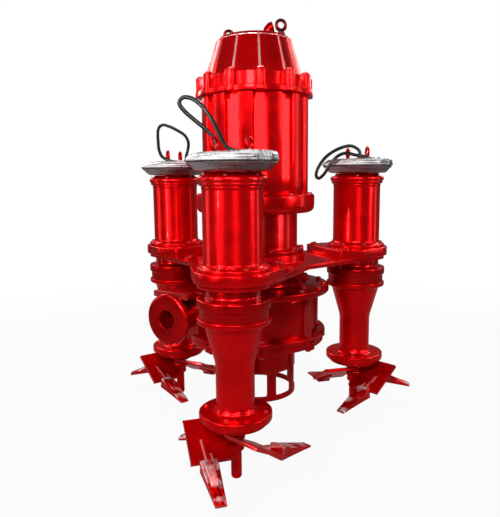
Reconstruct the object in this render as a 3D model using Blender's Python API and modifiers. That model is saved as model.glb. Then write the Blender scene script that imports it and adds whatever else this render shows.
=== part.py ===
"""Submersible slurry pump with three agitators, for Blender 4.5.

A vertical electric motor drives an impeller in a spiral casing at the foot of the pump. A spider
plate round the pump carries three smaller motors, whose cutter heads stir up the settled solids.
Units are metres, +Z is up, and the pump stands on the three agitator shafts at z = 0.
"""

from math import acos, asin, cos, pi, radians, sin

import bmesh
import bpy
from mathutils import Matrix, Vector

# Clearances and overruns shared by all the pieces
seat_gap = 0.0003
running_gap = 0.0006
air_gap = 0.0012
overrun = 0.004

# Where the agitators stand round the pump axis
agitator_ring_radius = 0.484
front_angle = radians(-98.8)
agitator_step = radians(120)
agitator_names = ("front", "right", "left")
# The right head turns the other way, and each head rests at its own angle
head_spin = {"front": 1, "right": -1, "left": 1}
head_rest_angle = {"front": radians(197.0), "right": radians(-45.5), "left": radians(216.0)}

# Agitator output shaft and cutter head
tip_radius = 0.019
tip_length = 0.106
tip_chamfer = 0.004
hub_radius = 0.029
hub_height = 0.092
head_clearance = 0.006
blade_count = 3
blade_reach = 0.172
blade_chord = 0.172
blade_thickness = 0.012
blade_pitch = radians(30)
blade_lead = -0.006
tooth_offset = 0.115
tooth_length = 0.178
tooth_root_width = 0.062
tooth_tip_width = 0.038
tooth_root_height = 0.048
tooth_tip_height = 0.010
tooth_tip_drop = 0.007
tooth_droop = radians(11)
adapter_length = 0.070
adapter_width = 0.030
adapter_height = 0.036
adapter_nose_length = 0.036
adapter_nose_share = 0.62
adapter_flare_share = 1.4

# Bearing tube of an agitator, from the foot up
end_cover_radius = 0.112
end_cover_height = 0.016
tube_flange_radius = 0.127
tube_flange_height = 0.030
tube_radius = 0.067
tube_wall = 0.012
tube_straight_length = 0.168
cone_height = 0.122
cone_top_radius = 0.101
cone_shoulder_height = 0.016
reducer_flange_radius = 0.128
tube_top_flange_height = 0.024
output_shaft_radius = 0.030
output_spigot_radius = 0.022
output_spigot_depth = 0.034
shaft_bearing_height = 0.052

# Planetary reducer, a closed unit
reducer_body_radius = 0.1205
reducer_body_height = 0.036
reducer_top_flange_height = 0.031
reducer_neck_radius = 0.094
reducer_neck_height = 0.038
input_bore_depth = 0.040

# Spider plate: a tapered arm to each agitator, and a thicker foot for its motor on top
plate_thickness = 0.020
arm_root_distance = 0.134
arm_root_half_width = 0.232
arm_end_radius = 0.125
foot_thickness = 0.034
foot_radius = 0.137
foot_inner_distance = 0.315
foot_inner_half_width = 0.158
foot_shoulder_distance = 0.425
foot_shoulder_half_width = 0.168
foot_round_start = radians(76)
foot_edge = 0.004
housing_seat_radius = 0.205
motor_spigot_radius = 0.052
main_bore_radius = 0.118

# Agitator motor
barrel_radius = 0.102
barrel_wall = 0.012
barrel_sides = 20
barrel_foot_radius = 0.124
barrel_foot_height = 0.014
barrel_height = 0.276
cap_radius = 0.1165
cap_height = 0.034
cap_edge = 0.008
cap_step_radius = 0.097
cap_step_height = 0.012
rotor_radius = 0.052
rotor_length = 0.150
rotor_shaft_radius = 0.014
stator_length = 0.160
motor_bearing_radius = 0.031
motor_bearing_height = 0.018
rotor_rise = 0.050
cap_inner_depth = 0.012

# Small lifting eyes and glands on each agitator motor
small_eye_offset = 0.056
small_eye_turn = radians(8)
small_eye_heading = radians(60)
small_eye_ring_radius = 0.020
small_eye_wire_radius = 0.0050
small_eye_collar_radius = 0.011
small_eye_collar_height = 0.066
gland_distance = 0.060
gland_angle = radians(150)
gland_radius = 0.015
gland_height = 0.052
gland_nose_radius = 0.0105
gland_nose_height = 0.022

# Cable of an agitator motor
cable_radius = 0.0070
loop_spacing = 0.030
coil_inner_radius = 0.0905
coil_outer_radius = 0.1535
coil_height = 0.060
coil_edge = 0.018
coil_foot_reach = 0.030
cable_sides_resolution = 2

# Main pump, from the strainer up
strainer_bottom_height = 0.139
strainer_radius = 0.164
strainer_wall = 0.010
strainer_ring_height = 0.021
strainer_window_height = 0.097
strainer_bars = 8
strainer_bar_width = 0.039
strainer_bar_angle = radians(-68)
strainer_collar_height = 0.096
strainer_flange_radius = 0.182
strainer_flange_height = 0.012
suction_cover_radius = 0.296
suction_cover_height = 0.028
suction_lug_radius = 0.026
suction_lugs = 8
suction_lug_angle = radians(4)
suction_eye_radius = 0.078
suction_skirt_radius = 0.215
suction_skirt_height = 0.019
volute_height = 0.180
volute_start_radius = 0.252
volute_end_radius = 0.272
volute_wall = 0.020
volute_flange_radius = 0.290
volute_flange_height = 0.018
volute_rib_width = 0.016
volute_rib_reach = 0.284
volute_ribs = 6
volute_rib_angle = radians(-41)
volute_rib_clear_angle = radians(60)
spiral_steps = 20
discharge_angle = radians(237)
discharge_offset = 0.176
discharge_reach = 0.371
discharge_flange_radius = 0.100
discharge_flange_height = 0.022
discharge_pipe_radius = 0.058
discharge_bore_radius = 0.038
discharge_rise = 0.100
discharge_throat_half = 0.062
throat_reach_share = 0.68
pipe_start_share = 0.75
back_plate_radius = 0.305
back_plate_height = 0.025
back_tongue_half_width = 0.086
back_tongue_reach = 0.345
bracket_radius = 0.172
bracket_ribs = 6
bracket_rib_angle = radians(21)
bracket_rib_width = 0.018
bracket_rib_reach = 0.250
bracket_top_flange_lip = 0.018
bracket_top_flange_height = 0.016
bracket_bore_radius = 0.100

# Impeller and main shaft
impeller_radius = 0.188
impeller_shroud_height = 0.014
impeller_vane_height = 0.143
impeller_vanes = 4
impeller_vane_thickness = 0.012
impeller_hub_radius = 0.050
impeller_hub_height = 0.095
impeller_vane_wrap = radians(105)
impeller_vane_start = 0.062
impeller_back_clearance = 0.006
main_shaft_radius = 0.034
shaft_journal_radius = 0.028
seal_radius = 0.062
seal_height = 0.070
main_bearing_radius = 0.070
main_bearing_height = 0.040
top_bearing_radius = 0.056
top_bearing_height = 0.030
bearing_web = 0.014

# Bearing housing, motor and lid
housing_radius = 0.173
housing_wall = 0.026
housing_height = 0.164
housing_foot_radius = 0.200
housing_foot_height = 0.018
shield_radius = 0.243
shield_height = 0.073
shield_fillet = 0.030
shield_floor = 0.024
casing_radius = 0.216
casing_wall = 0.038
casing_height = 0.384
casing_flutes = 12
casing_flute_share = 0.36
casing_flute_depth = 0.018
casing_flute_taper_share = 0.72
casing_head_height = 0.023
bolt_phase = radians(-84)
lid_ring_radius = 0.225
lid_ring_height = 0.025
lid_band_radius = 0.201
lid_band_height = 0.050
lid_cone_foot_inset = 0.011
lid_cone_top_radius = 0.150
lid_cone_height = 0.144
lid_crown_height = 0.010
lid_crown_radius = 0.138
lid_wall = 0.014
lid_boss_radius = 0.021
lid_boss_distance = 0.214
lid_boss_height = 0.051
lid_rib_thickness = 0.010
lid_rib_rise = 0.009
main_bolt_head_radius = 0.0130
main_bolt_head_height = 0.010
main_rotor_radius = 0.098
main_rotor_inset = 0.010
main_stator_headroom = 0.044
main_stator_lift = 0.040

# Main lifting eyes and cable elbow
eye_distance = 0.125
eye_line_angle = radians(-34)
eye_ring_radius = 0.0225
eye_wire_radius = 0.0058
eye_collar_radius = 0.016
eye_collar_height = 0.012
elbow_distance = 0.052
elbow_angle = radians(-4)
elbow_radius = 0.0185
elbow_bore_radius = 0.0125
elbow_rise = 0.022
elbow_bend_radius = 0.034
elbow_turn = radians(62)
elbow_heading = radians(18)
elbow_steps = 6

# Facets round the turned pieces
fine_steps = 24
plain_steps = 12
small_steps = 6
ring_steps = 10

red_paint = (0.62, 0.005, 0.008, 1.0)
dark_red_paint = (0.30, 0.004, 0.006, 1.0)
steel_grey = (0.45, 0.45, 0.47, 1.0)
winding_copper = (0.45, 0.16, 0.06, 1.0)
film_white = (0.80, 0.80, 0.82, 1.0)
cable_black = (0.02, 0.02, 0.022, 1.0)
seal_black = (0.03, 0.03, 0.03, 1.0)


for leftover in list(bpy.data.objects):
    bpy.data.objects.remove(leftover, do_unlink=True)

parts = bpy.data.collections.new("slurry_pump")
cutters = bpy.data.collections.new("slurry_pump_cutters")
bpy.context.scene.collection.children.link(parts)
bpy.context.scene.collection.children.link(cutters)


def make_material(name, colour, roughness, metallic):
    made = bpy.data.materials.new(name)
    made.use_nodes = True
    shader = made.node_tree.nodes["Principled BSDF"]
    shader.inputs["Base Color"].default_value = colour
    shader.inputs["Roughness"].default_value = roughness
    shader.inputs["Metallic"].default_value = metallic
    return made


def paint(name):
    return make_material(name, red_paint, 0.22, 0.0)


def steel(name):
    return make_material(name, steel_grey, 0.35, 1.0)


def add_empty(name, place, parent=None):
    empty = bpy.data.objects.new(name, None)
    empty.location = place
    empty.parent = parent
    parts.objects.link(empty)
    return empty


root = add_empty("root", (0, 0, 0))


def add_object(name, mesh, material, parent=root):
    made = bpy.data.objects.new(name, mesh)
    made.parent = parent
    parts.objects.link(made)
    if material is not None:
        mesh.materials.append(material)
    return made


def smooth(made, angle=radians(32)):
    made.data.shade_smooth()
    made.data.set_sharp_from_angle(angle=angle)
    return made


def turned(name, profile, material, steps, parent=root, place=(0, 0, 0)):
    """A turned piece: the profile's (radius, height) points run down its outer side."""
    mesh = bpy.data.meshes.new(name)
    closed = profile[0][0] > 0 or profile[-1][0] > 0
    edges = [(i, i + 1) for i in range(len(profile) - 1)]
    if closed:
        edges.append((len(profile) - 1, 0))
    mesh.from_pydata([(radius, 0, height) for radius, height in profile], edges, [])
    made = add_object(name, mesh, material, parent)
    made.location = place
    screw = made.modifiers.new("turn", "SCREW")
    screw.steps = steps
    screw.render_steps = steps
    screw.use_merge_vertices = True
    screw.merge_threshold = 0.00001
    screw.use_smooth_shade = True
    baked(made)
    return smooth(made)


def baked(made):
    """Replaces an object's mesh by the one that its modifiers make."""
    bpy.context.view_layer.update()
    graph = bpy.context.evaluated_depsgraph_get()
    mesh = bpy.data.meshes.new_from_object(made.evaluated_get(graph))
    made.modifiers.clear()
    made.data = mesh
    mesh.name = made.name
    return made


def closed_mesh(made, distance=0.00001):
    """Welds a converted curve's caps and turns its faces outwards."""
    shape = bmesh.new()
    shape.from_mesh(made.data)
    bmesh.ops.remove_doubles(shape, verts=shape.verts, dist=distance)
    bmesh.ops.recalc_face_normals(shape, faces=shape.faces)
    shape.to_mesh(made.data)
    shape.free()
    return made


def from_curve(name, curve_object, material, parent):
    """A mesh object that takes a curve object's shape and place."""
    parts.objects.link(curve_object)
    bpy.context.view_layer.update()
    graph = bpy.context.evaluated_depsgraph_get()
    mesh = bpy.data.meshes.new_from_object(curve_object.evaluated_get(graph))
    mesh.materials.clear()
    made = add_object(name, mesh, material, parent)
    made.matrix_basis = curve_object.matrix_basis
    bpy.data.objects.remove(curve_object, do_unlink=True)
    return closed_mesh(made)


def slab(name, outline, bottom, top, material=None, parent=root):
    """A flat outline of (x, y) points, filled and extruded from bottom to top."""
    curve = bpy.data.curves.new(name, "CURVE")
    curve.dimensions = "2D"
    curve.fill_mode = "BOTH"
    curve.extrude = (top - bottom) / 2
    spline = curve.splines.new("POLY")
    spline.points.add(len(outline) - 1)
    for point, (x, y) in zip(spline.points, outline):
        point.co = (x, y, 0, 1)
    spline.use_cyclic_u = True
    flat = bpy.data.objects.new(name + " outline", curve)
    flat.location = (0, 0, (top + bottom) / 2)
    return from_curve(name, flat, material, parent)


def tube(name, route, radius, material, parent=root, resolution=cable_sides_resolution):
    curve = bpy.data.curves.new(name, "CURVE")
    curve.dimensions = "3D"
    curve.bevel_depth = radius
    curve.bevel_resolution = resolution
    curve.use_fill_caps = True
    spline = curve.splines.new("POLY")
    spline.points.add(len(route) - 1)
    for point, place in zip(spline.points, route):
        point.co = (*place, 1)
    bent = bpy.data.objects.new(name + " route", curve)
    return smooth(from_curve(name, bent, material, parent))


def set_aside(tool):
    for collection in list(tool.users_collection):
        collection.objects.unlink(tool)
    cutters.objects.link(tool)
    tool.hide_render = True
    tool.display_type = "WIRE"


def combine(target, tool, operation):
    modifier = target.modifiers.new(operation.lower() + " " + tool.name, "BOOLEAN")
    modifier.operation = operation
    modifier.solver = "EXACT"
    modifier.object = tool
    set_aside(tool)
    return target


def join(target, *tools):
    for tool in tools:
        combine(target, tool, "UNION")
    return target


def cut(target, *tools):
    for tool in tools:
        combine(target, tool, "DIFFERENCE")
    return target


def polar(radius, angle):
    return radius * cos(angle), radius * sin(angle)


def bored(radius, steps):
    """The corner radius of a many-sided bore whose flats clear the given radius."""
    return radius / cos(pi / steps)


def spread(count, phase=0):
    return [phase + 2 * pi * i / count for i in range(count)]


def arc(centre, radius, start, end, steps):
    return [
        (centre[0] + radius * cos(start + (end - start) * i / steps),
         centre[1] + radius * sin(start + (end - start) * i / steps))
        for i in range(steps + 1)
    ]


def turned_points(points, angle):
    """The (x, y) points turned about the origin."""
    return [(x * cos(angle) - y * sin(angle), x * sin(angle) + y * cos(angle)) for x, y in points]


def cylinder(name, place, radius, bottom, top, steps=small_steps, material=None, parent=root):
    """A plain round bar, vertical, at (x, y)."""
    profile = [(0, top), (radius, top), (radius, bottom), (0, bottom)]
    return turned(name, profile, material, steps, parent, (*place, 0))


def cluster(name, pieces):
    """One tool made of several pieces that don't touch each other."""
    shape = bmesh.new()
    bpy.context.view_layer.update()
    for piece in pieces:
        baked(piece)
        piece.data.transform(piece.matrix_basis)
        shape.from_mesh(piece.data)
        bpy.data.objects.remove(piece, do_unlink=True)
    mesh = bpy.data.meshes.new(name)
    shape.to_mesh(mesh)
    shape.free()
    return add_object(name, mesh, None)


def block(name, corners, material=None, parent=root):
    """A wedge or box between two rectangles, each given as four corners in the same order."""
    shape = bmesh.new()
    bmesh.ops.create_cube(shape, size=1)
    for vert in shape.verts:
        end = 0 if vert.co.x < 0 else 1
        side = 0 if vert.co.y < 0 else 1
        rise = 0 if vert.co.z < 0 else 1
        vert.co = corners[end][side][rise]
    shape.normal_update()
    bmesh.ops.recalc_face_normals(shape, faces=shape.faces)
    mesh = bpy.data.meshes.new(name)
    shape.to_mesh(mesh)
    shape.free()
    return add_object(name, mesh, material, parent)


def tapered_bar(name, start, end, across, ups, sizes, material=None, parent=root):
    """A bar from start to end. ups and sizes hold the up direction and (width, height) at each."""
    sections = []
    for centre, up, (width, height) in zip((start, end), ups, sizes):
        sections.append([
            [centre + across * (width / 2 * side) + up * (height / 2 * rise) for rise in (-1, 1)]
            for side in (-1, 1)
        ])
    return block(name, sections, material, parent)


# Heights of an agitator, from the floor up
hub_bottom = tip_length
hub_top = hub_bottom + hub_height
end_cover_bottom = hub_top + head_clearance
tube_bottom = end_cover_bottom + end_cover_height
tube_flange_top = tube_bottom + tube_flange_height
cone_bottom = tube_flange_top + tube_straight_length
cone_top = cone_bottom + cone_height
tube_flange_seat = cone_top + cone_shoulder_height
tube_top = tube_flange_seat + tube_top_flange_height
reducer_bottom = tube_top
reducer_flange_bottom = reducer_bottom + reducer_body_height
reducer_flange_top = reducer_flange_bottom + reducer_top_flange_height
plate_bottom = reducer_flange_top + reducer_neck_height
plate_top = plate_bottom + plate_thickness
foot_top = plate_top + foot_thickness
barrel_bottom = foot_top
barrel_foot_top = barrel_bottom + barrel_foot_height
barrel_top = barrel_bottom + barrel_height
cap_bottom = barrel_top
cap_shoulder = cap_bottom + cap_height
cap_top = cap_shoulder + cap_step_height
coil_bottom = cap_shoulder + cap_step_height

# Heights of the main pump, from the strainer up
strainer_window_bottom = strainer_bottom_height + strainer_ring_height
strainer_window_top = strainer_window_bottom + strainer_window_height
strainer_top = strainer_window_top + strainer_collar_height
suction_skirt_bottom = strainer_top
suction_bottom = suction_skirt_bottom + suction_skirt_height
suction_top = suction_bottom + suction_cover_height
volute_bottom = suction_top
volute_top = volute_bottom + volute_height
back_top = volute_top + back_plate_height
housing_bottom = foot_top
housing_top = housing_bottom + housing_height
shield_bottom = housing_top
shield_top = shield_bottom + shield_height
casing_bottom = shield_top
casing_top = casing_bottom + casing_height
casing_inner_radius = casing_radius - casing_wall
lid_bottom = casing_top
lid_ring_top = lid_bottom + lid_ring_height
lid_band_top = lid_ring_top + lid_band_height
lid_cone_top = lid_band_top + lid_cone_height
lid_top = lid_cone_top + lid_crown_height
lid_cone_foot_radius = lid_band_radius - lid_cone_foot_inset
main_stator_bottom = casing_bottom + main_stator_lift
main_stator_top = casing_top - top_bearing_height - main_stator_headroom


def spider_plate():
    """The plate that ties the three agitators to the pump. A thick foot under each motor lies on it."""
    arm = [(arm_root_distance, -arm_root_half_width)]
    arm += arc((agitator_ring_radius, 0), arm_end_radius, -pi / 2, pi / 2, 10)
    foot = [(foot_inner_distance, -foot_inner_half_width),
            (foot_shoulder_distance, -foot_shoulder_half_width)]
    foot += arc((agitator_ring_radius, 0), foot_radius, -foot_round_start, foot_round_start, 12)
    foot += [(foot_shoulder_distance, foot_shoulder_half_width),
             (foot_inner_distance, foot_inner_half_width)]
    outline, feet, bores = [], [], []
    for i in range(len(agitator_names)):
        angle = front_angle + i * agitator_step
        outline += turned_points(arm, angle)
        feet.append(slab("foot", turned_points(foot, angle), plate_top - overrun, foot_top))
        bevel = feet[-1].modifiers.new("edge", "BEVEL")
        bevel.width = foot_edge
        bevel.segments = 1
        bevel.limit_method = "ANGLE"
        bevel.angle_limit = radians(60)
        bores.append(cylinder("motor bore", polar(agitator_ring_radius, angle),
                              bored(motor_spigot_radius, plain_steps), plate_bottom - overrun,
                              foot_top + overrun, plain_steps))
    made = slab("spider_plate", outline, plate_bottom, plate_top, paint("spider_plate"))
    seat = cylinder("housing seat", (0, 0), housing_seat_radius, plate_top - overrun, housing_bottom,
                    fine_steps)
    join(made, cluster("motor feet", feet), seat)
    return cut(made, cluster("motor bores", bores),
               cylinder("main bore", (0, 0), main_bore_radius, plate_bottom - overrun,
                        housing_bottom + overrun, plain_steps))


def motor_casing():
    """The main motor's shell, with a flute under each lid bolt."""
    made = turned("motor_casing", [
        (casing_radius, casing_top - seat_gap), (casing_radius, casing_bottom + seat_gap),
        (casing_inner_radius, casing_bottom + seat_gap), (casing_inner_radius, casing_top - seat_gap),
    ], paint("motor_casing"), casing_flutes * 4)
    inner = casing_radius - casing_flute_depth
    half = pi * casing_radius / casing_flutes * casing_flute_share
    floor_half = half * casing_flute_taper_share
    profile = [(inner, -floor_half), (casing_radius + overrun, -half),
               (casing_radius + overrun, half), (inner, floor_half)]
    flute_top = casing_top - casing_head_height
    return cut(made, cluster("flutes", [
        slab("flute", turned_points(profile, angle), casing_bottom - overrun, flute_top)
        for angle in spread(casing_flutes, bolt_phase)
    ]))


def motor_lid():
    """The cast lid: a ring, a band with a bolted boss every 30 degrees, and a ribbed cone.

    A web across its foot carries the upper bearing. Two lifting eyes stand on the crown.
    """
    inner_cone = lid_cone_foot_radius - lid_wall
    spigot = casing_inner_radius - seat_gap
    web_bottom = lid_bottom - top_bearing_height
    bore = bored(top_bearing_radius + seat_gap, fine_steps)
    made = turned("motor_lid", [
        (0, lid_top), (lid_crown_radius, lid_top), (lid_cone_top_radius, lid_cone_top),
        (lid_cone_foot_radius, lid_band_top), (lid_band_radius, lid_band_top),
        (lid_band_radius, lid_ring_top), (lid_ring_radius, lid_ring_top),
        (lid_ring_radius, lid_bottom), (spigot, lid_bottom), (spigot, web_bottom),
        (bore, web_bottom), (bore, lid_bottom),
        (inner_cone, lid_bottom), (inner_cone, lid_band_top - lid_wall),
        (lid_cone_top_radius - lid_wall, lid_cone_top - lid_wall), (0, lid_cone_top - lid_wall),
    ], paint("motor_lid"), fine_steps)
    boss_top = lid_ring_top + lid_boss_height
    bosses, ribs = [], []
    for angle in spread(casing_flutes, bolt_phase):
        boss_bottom = lid_bottom + seat_gap
        bosses.append(turned("boss", [
            (0, boss_top + main_bolt_head_height), (main_bolt_head_radius, boss_top + main_bolt_head_height),
            (main_bolt_head_radius, boss_top), (lid_boss_radius, boss_top),
            (lid_boss_radius, boss_bottom), (0, boss_bottom),
        ], None, small_steps, root, (*polar(lid_boss_distance, angle), 0)))
        out = Vector((cos(angle), sin(angle), 0))
        side = Vector((-sin(angle), cos(angle), 0)) * (lid_rib_thickness / 2)
        low = Vector((0, 0, lid_band_top - lid_wall))
        high = Vector((0, 0, lid_cone_top))
        foot_in = out * (lid_cone_foot_radius - lid_wall / 2) + low
        foot_out = out * (lid_cone_foot_radius + lid_rib_rise) + low
        top_in = out * (lid_cone_top_radius - lid_wall / 2) + high
        top_out = out * (lid_cone_top_radius + lid_rib_rise / 4) + high
        ribs.append(block("rib", [
            [[foot_in - side, foot_in + side], [foot_out - side, foot_out + side]],
            [[top_in - side, top_in + side], [top_out - side, top_out + side]],
        ]))
    eyes = [
        lifting_eye("main eye %d" % i, polar(eye_distance, eye_line_angle + i * pi), lid_top,
                    eye_ring_radius, eye_wire_radius, eye_collar_radius, eye_collar_height,
                    radians(15))
        for i in range(2)
    ]
    join(made, cluster("lid bosses", bosses), cluster("lid ribs", ribs), cluster("lid eyes", eyes))
    hole = cylinder("cable hole", polar(elbow_distance, elbow_angle), elbow_bore_radius,
                    lid_cone_top - lid_wall - overrun, lid_top + overrun)
    return cut(made, hole)


def end_shield():
    """The motor's lower end shield, a deep ring with a rounded lower edge."""
    rounding = [
        (shield_radius - shield_fillet + shield_fillet * cos(pi / 2 * i / 4),
         shield_bottom + shield_fillet - shield_fillet * sin(pi / 2 * i / 4))
        for i in range(5)
    ]
    bore = bored(main_bearing_radius + seat_gap, fine_steps)
    return turned("end_shield", [
        (casing_inner_radius - overrun, shield_top - seat_gap), (shield_radius, shield_top - seat_gap),
        *[(radius, height + seat_gap) for radius, height in rounding],
        (bore, shield_bottom + seat_gap), (bore, shield_bottom + shield_floor),
        (casing_inner_radius - overrun, shield_bottom + shield_floor),
    ], paint("end_shield"), fine_steps)


def bearing_housing():
    """The oil chamber between the motor and the spider plate."""
    inner = housing_radius - housing_wall
    return turned("bearing_housing", [
        (inner, housing_top - seat_gap), (housing_radius, housing_top - seat_gap),
        (housing_radius, housing_bottom + housing_foot_height),
        (housing_foot_radius, housing_bottom + housing_foot_height),
        (housing_foot_radius, housing_bottom + seat_gap), (inner, housing_bottom + seat_gap),
    ], paint("bearing_housing"), fine_steps)


def main_stator():
    outer = casing_inner_radius - seat_gap
    inner = main_rotor_radius + air_gap
    return turned("main_stator", [
        (outer, main_stator_top), (outer, main_stator_bottom),
        (inner, main_stator_bottom), (inner, main_stator_top),
    ], make_material("main_stator", winding_copper, 0.5, 0.6), plain_steps)


def ring(name, outer, inner, bottom, top, material, steps=plain_steps, parent=root):
    bore = bored(inner, steps)
    return turned(name, [(outer, top), (outer, bottom), (bore, bottom), (bore, top)],
                  material, steps, parent)


def main_bearings():
    """The lower bearing sits in the end shield, the upper one in the lid's web."""
    ring("lower_bearing", main_bearing_radius, main_shaft_radius + running_gap,
         shield_bottom + seat_gap, shield_bottom + main_bearing_height, steel("lower_bearing"))
    ring("upper_bearing", top_bearing_radius, shaft_journal_radius + running_gap,
         lid_bottom - top_bearing_height, lid_bottom, steel("upper_bearing"))


def mechanical_seal():
    bottom = back_top + seat_gap
    return ring("mechanical_seal", seal_radius, main_shaft_radius + running_gap, bottom,
                bottom + seal_height, make_material("mechanical_seal", seal_black, 0.4, 0.3))


def main_shaft():
    """One shaft from the impeller to the upper bearing."""
    impeller_top = volute_top - impeller_back_clearance
    bottom = impeller_top - impeller_hub_height
    spigot = shaft_journal_radius - seat_gap
    shoulder = casing_top - top_bearing_height - seat_gap
    return turned("main_shaft", [
        (0, casing_top + seat_gap), (shaft_journal_radius, casing_top + seat_gap),
        (shaft_journal_radius, shoulder), (main_shaft_radius, shoulder),
        (main_shaft_radius, impeller_top + seat_gap), (spigot, impeller_top + seat_gap),
        (spigot, bottom), (0, bottom),
    ], steel("main_shaft"), plain_steps)


def main_rotor():
    bottom = main_stator_bottom + main_rotor_inset
    top = main_stator_top - main_rotor_inset
    bore = main_shaft_radius + seat_gap
    return turned("main_rotor", [
        (main_rotor_radius, top), (main_rotor_radius, bottom), (bore, bottom), (bore, top),
    ], steel("main_rotor"), plain_steps)


def impeller():
    """An open impeller: a back shroud, a hub and swept vanes."""
    top = volute_top - impeller_back_clearance
    shroud_bottom = top - impeller_shroud_height
    vane_bottom = shroud_bottom - impeller_vane_height
    hub_end = top - impeller_hub_height
    bore = shaft_journal_radius
    made = turned("impeller", [
        (bore, top), (impeller_radius, top), (impeller_radius, shroud_bottom),
        (impeller_hub_radius, shroud_bottom - impeller_shroud_height), (impeller_hub_radius, hub_end),
        (bore, hub_end),
    ], make_material("impeller", steel_grey, 0.4, 0.9), fine_steps)
    steps = 7
    for k, phase in enumerate(spread(impeller_vanes)):
        outer_side, inner_side = [], []
        for i in range(steps + 1):
            radius = impeller_vane_start + (impeller_radius - impeller_vane_start) * i / steps
            angle = phase - impeller_vane_wrap * i / steps
            half = impeller_vane_thickness / 2 / radius
            outer_side.append(polar(radius, angle + half))
            inner_side.append(polar(radius, angle - half))
        vane = slab("vane %d" % k, outer_side + inner_side[::-1], vane_bottom,
                    shroud_bottom + impeller_shroud_height / 2)
        join(made, vane)
    return made


# The discharge runs straight out along this direction, beside the pump axis
discharge_way = Vector((cos(discharge_angle), sin(discharge_angle), 0))
discharge_side = Vector((sin(discharge_angle), -cos(discharge_angle), 0))
discharge_height = volute_bottom + discharge_rise


def discharge_point(along, aside, height=0):
    place = discharge_way * along + discharge_side * aside
    return Vector((place.x, place.y, height))


def volute_outline(wall, reach):
    """The spiral, and the throat that leaves it for the discharge, set in by the wall."""
    side_angle = discharge_angle - pi / 2
    half = discharge_throat_half - wall
    start_radius = volute_start_radius - wall
    end_radius = volute_end_radius - wall
    tongue_angle = side_angle + acos((discharge_offset - half) / start_radius)
    end_angle = side_angle + acos((discharge_offset + half) / end_radius) + 2 * pi
    outline = [
        polar(start_radius + (end_radius - start_radius) * i / spiral_steps,
              tongue_angle + (end_angle - tongue_angle) * i / spiral_steps)
        for i in range(spiral_steps + 1)
    ]
    outline.append(tuple(discharge_point(reach, discharge_offset + half)[:2]))
    outline.append(tuple(discharge_point(reach, discharge_offset - half)[:2]))
    return outline


def along_discharge(name, radius, start, end, steps, end_radius=None):
    """A round bar along the discharge."""
    if end_radius is None:
        end_radius = radius
    made = turned(name, [(0, end), (end_radius, end), (radius, start), (0, start)], None, steps)
    way = discharge_way.to_track_quat("Z", "Y").to_matrix().to_4x4()
    made.matrix_basis = Matrix.Translation(discharge_point(0, discharge_offset, discharge_height)) @ way
    return made


def volute_casing():
    """The spiral casing with its lower flange, ribs and tangential discharge."""
    bottom = volute_bottom + seat_gap
    top = volute_top - seat_gap
    throat_reach = discharge_reach * throat_reach_share
    made = slab("volute_casing", volute_outline(0, throat_reach), bottom + overrun, top,
                paint("volute_casing"))
    pipe_start = throat_reach * pipe_start_share
    pipe = along_discharge("pipe", discharge_throat_half, pipe_start,
                           discharge_reach - discharge_flange_height / 2, plain_steps,
                           discharge_pipe_radius)
    flange = along_discharge("discharge flange", discharge_flange_radius,
                             discharge_reach - discharge_flange_height, discharge_reach, fine_steps)
    foot = cylinder("lower flange", (0, 0), volute_flange_radius, bottom,
                    bottom + volute_flange_height, fine_steps)
    half = volute_rib_width / 2
    rib = [(volute_start_radius - volute_wall / 2, -half), (volute_rib_reach, -half),
           (volute_rib_reach, half), (volute_start_radius - volute_wall / 2, half)]
    ribs = [
        slab("volute rib", turned_points(rib, angle), bottom + overrun * 2, top - overrun)
        for angle in spread(volute_ribs, volute_rib_angle)
        if abs((angle - discharge_angle + pi) % (2 * pi) - pi) > volute_rib_clear_angle
    ]
    join(made, pipe, flange, foot, cluster("volute ribs", ribs))
    chamber = slab("chamber", volute_outline(volute_wall, throat_reach - volute_wall), bottom + volute_wall,
                   top - volute_wall)
    return cut(made, chamber,
               cylinder("impeller opening", (0, 0), suction_skirt_radius, bottom - overrun,
                        top + overrun, fine_steps),
               along_discharge("discharge bore", discharge_bore_radius,
                               throat_reach - volute_wall - overrun,
                               discharge_reach + overrun, plain_steps))


def back_plate():
    """The cover over the spiral casing, with a tongue over the discharge, and the bearing bracket."""
    bottom = volute_top
    top = back_top
    side_angle = discharge_angle - pi / 2
    outer = discharge_offset + back_tongue_half_width
    inner = discharge_offset - back_tongue_half_width
    start = side_angle + acos(inner / back_plate_radius)
    end = side_angle + acos(outer / back_plate_radius) + 2 * pi
    outline = arc((0, 0), back_plate_radius, start, end, fine_steps)
    outline += [tuple(discharge_point(back_tongue_reach, aside)[:2]) for aside in (outer, inner)]
    made = slab("back_plate", outline, bottom, top, paint("back_plate"))
    bracket_top = plate_bottom - seat_gap
    flange_bottom = bracket_top - bracket_top_flange_height
    flange_radius = bracket_radius + bracket_top_flange_lip
    join(made, turned("bracket", [
        (0, bracket_top), (flange_radius, bracket_top),
        (flange_radius, flange_bottom), (bracket_radius, flange_bottom),
        (bracket_radius, top - overrun), (0, top - overrun),
    ], None, fine_steps))
    ribs = []
    for angle in spread(bracket_ribs, bracket_rib_angle):
        side = Vector((-sin(angle), cos(angle), 0)) * (bracket_rib_width / 2)
        out = Vector((cos(angle), sin(angle), 0))
        inner = out * (bracket_radius - overrun)
        sections = []
        for height, reach in ((top - overrun, bracket_rib_reach),
                              (bracket_top - bracket_top_flange_height / 2, flange_radius)):
            rise = Vector((0, 0, height))
            outer = out * reach
            sections.append([[inner + rise - side, inner + rise + side],
                             [outer + rise - side, outer + rise + side]])
        ribs.append(block("bracket rib", sections))
    join(made, cluster("bracket ribs", ribs))
    cut(made,
        cylinder("seal bore", (0, 0), bracket_bore_radius, top + seat_gap, bracket_top + overrun, plain_steps),
        cylinder("shaft bore", (0, 0), bored(main_shaft_radius + air_gap, plain_steps), bottom - overrun,
                 top + overrun, plain_steps))
    return made


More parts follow.
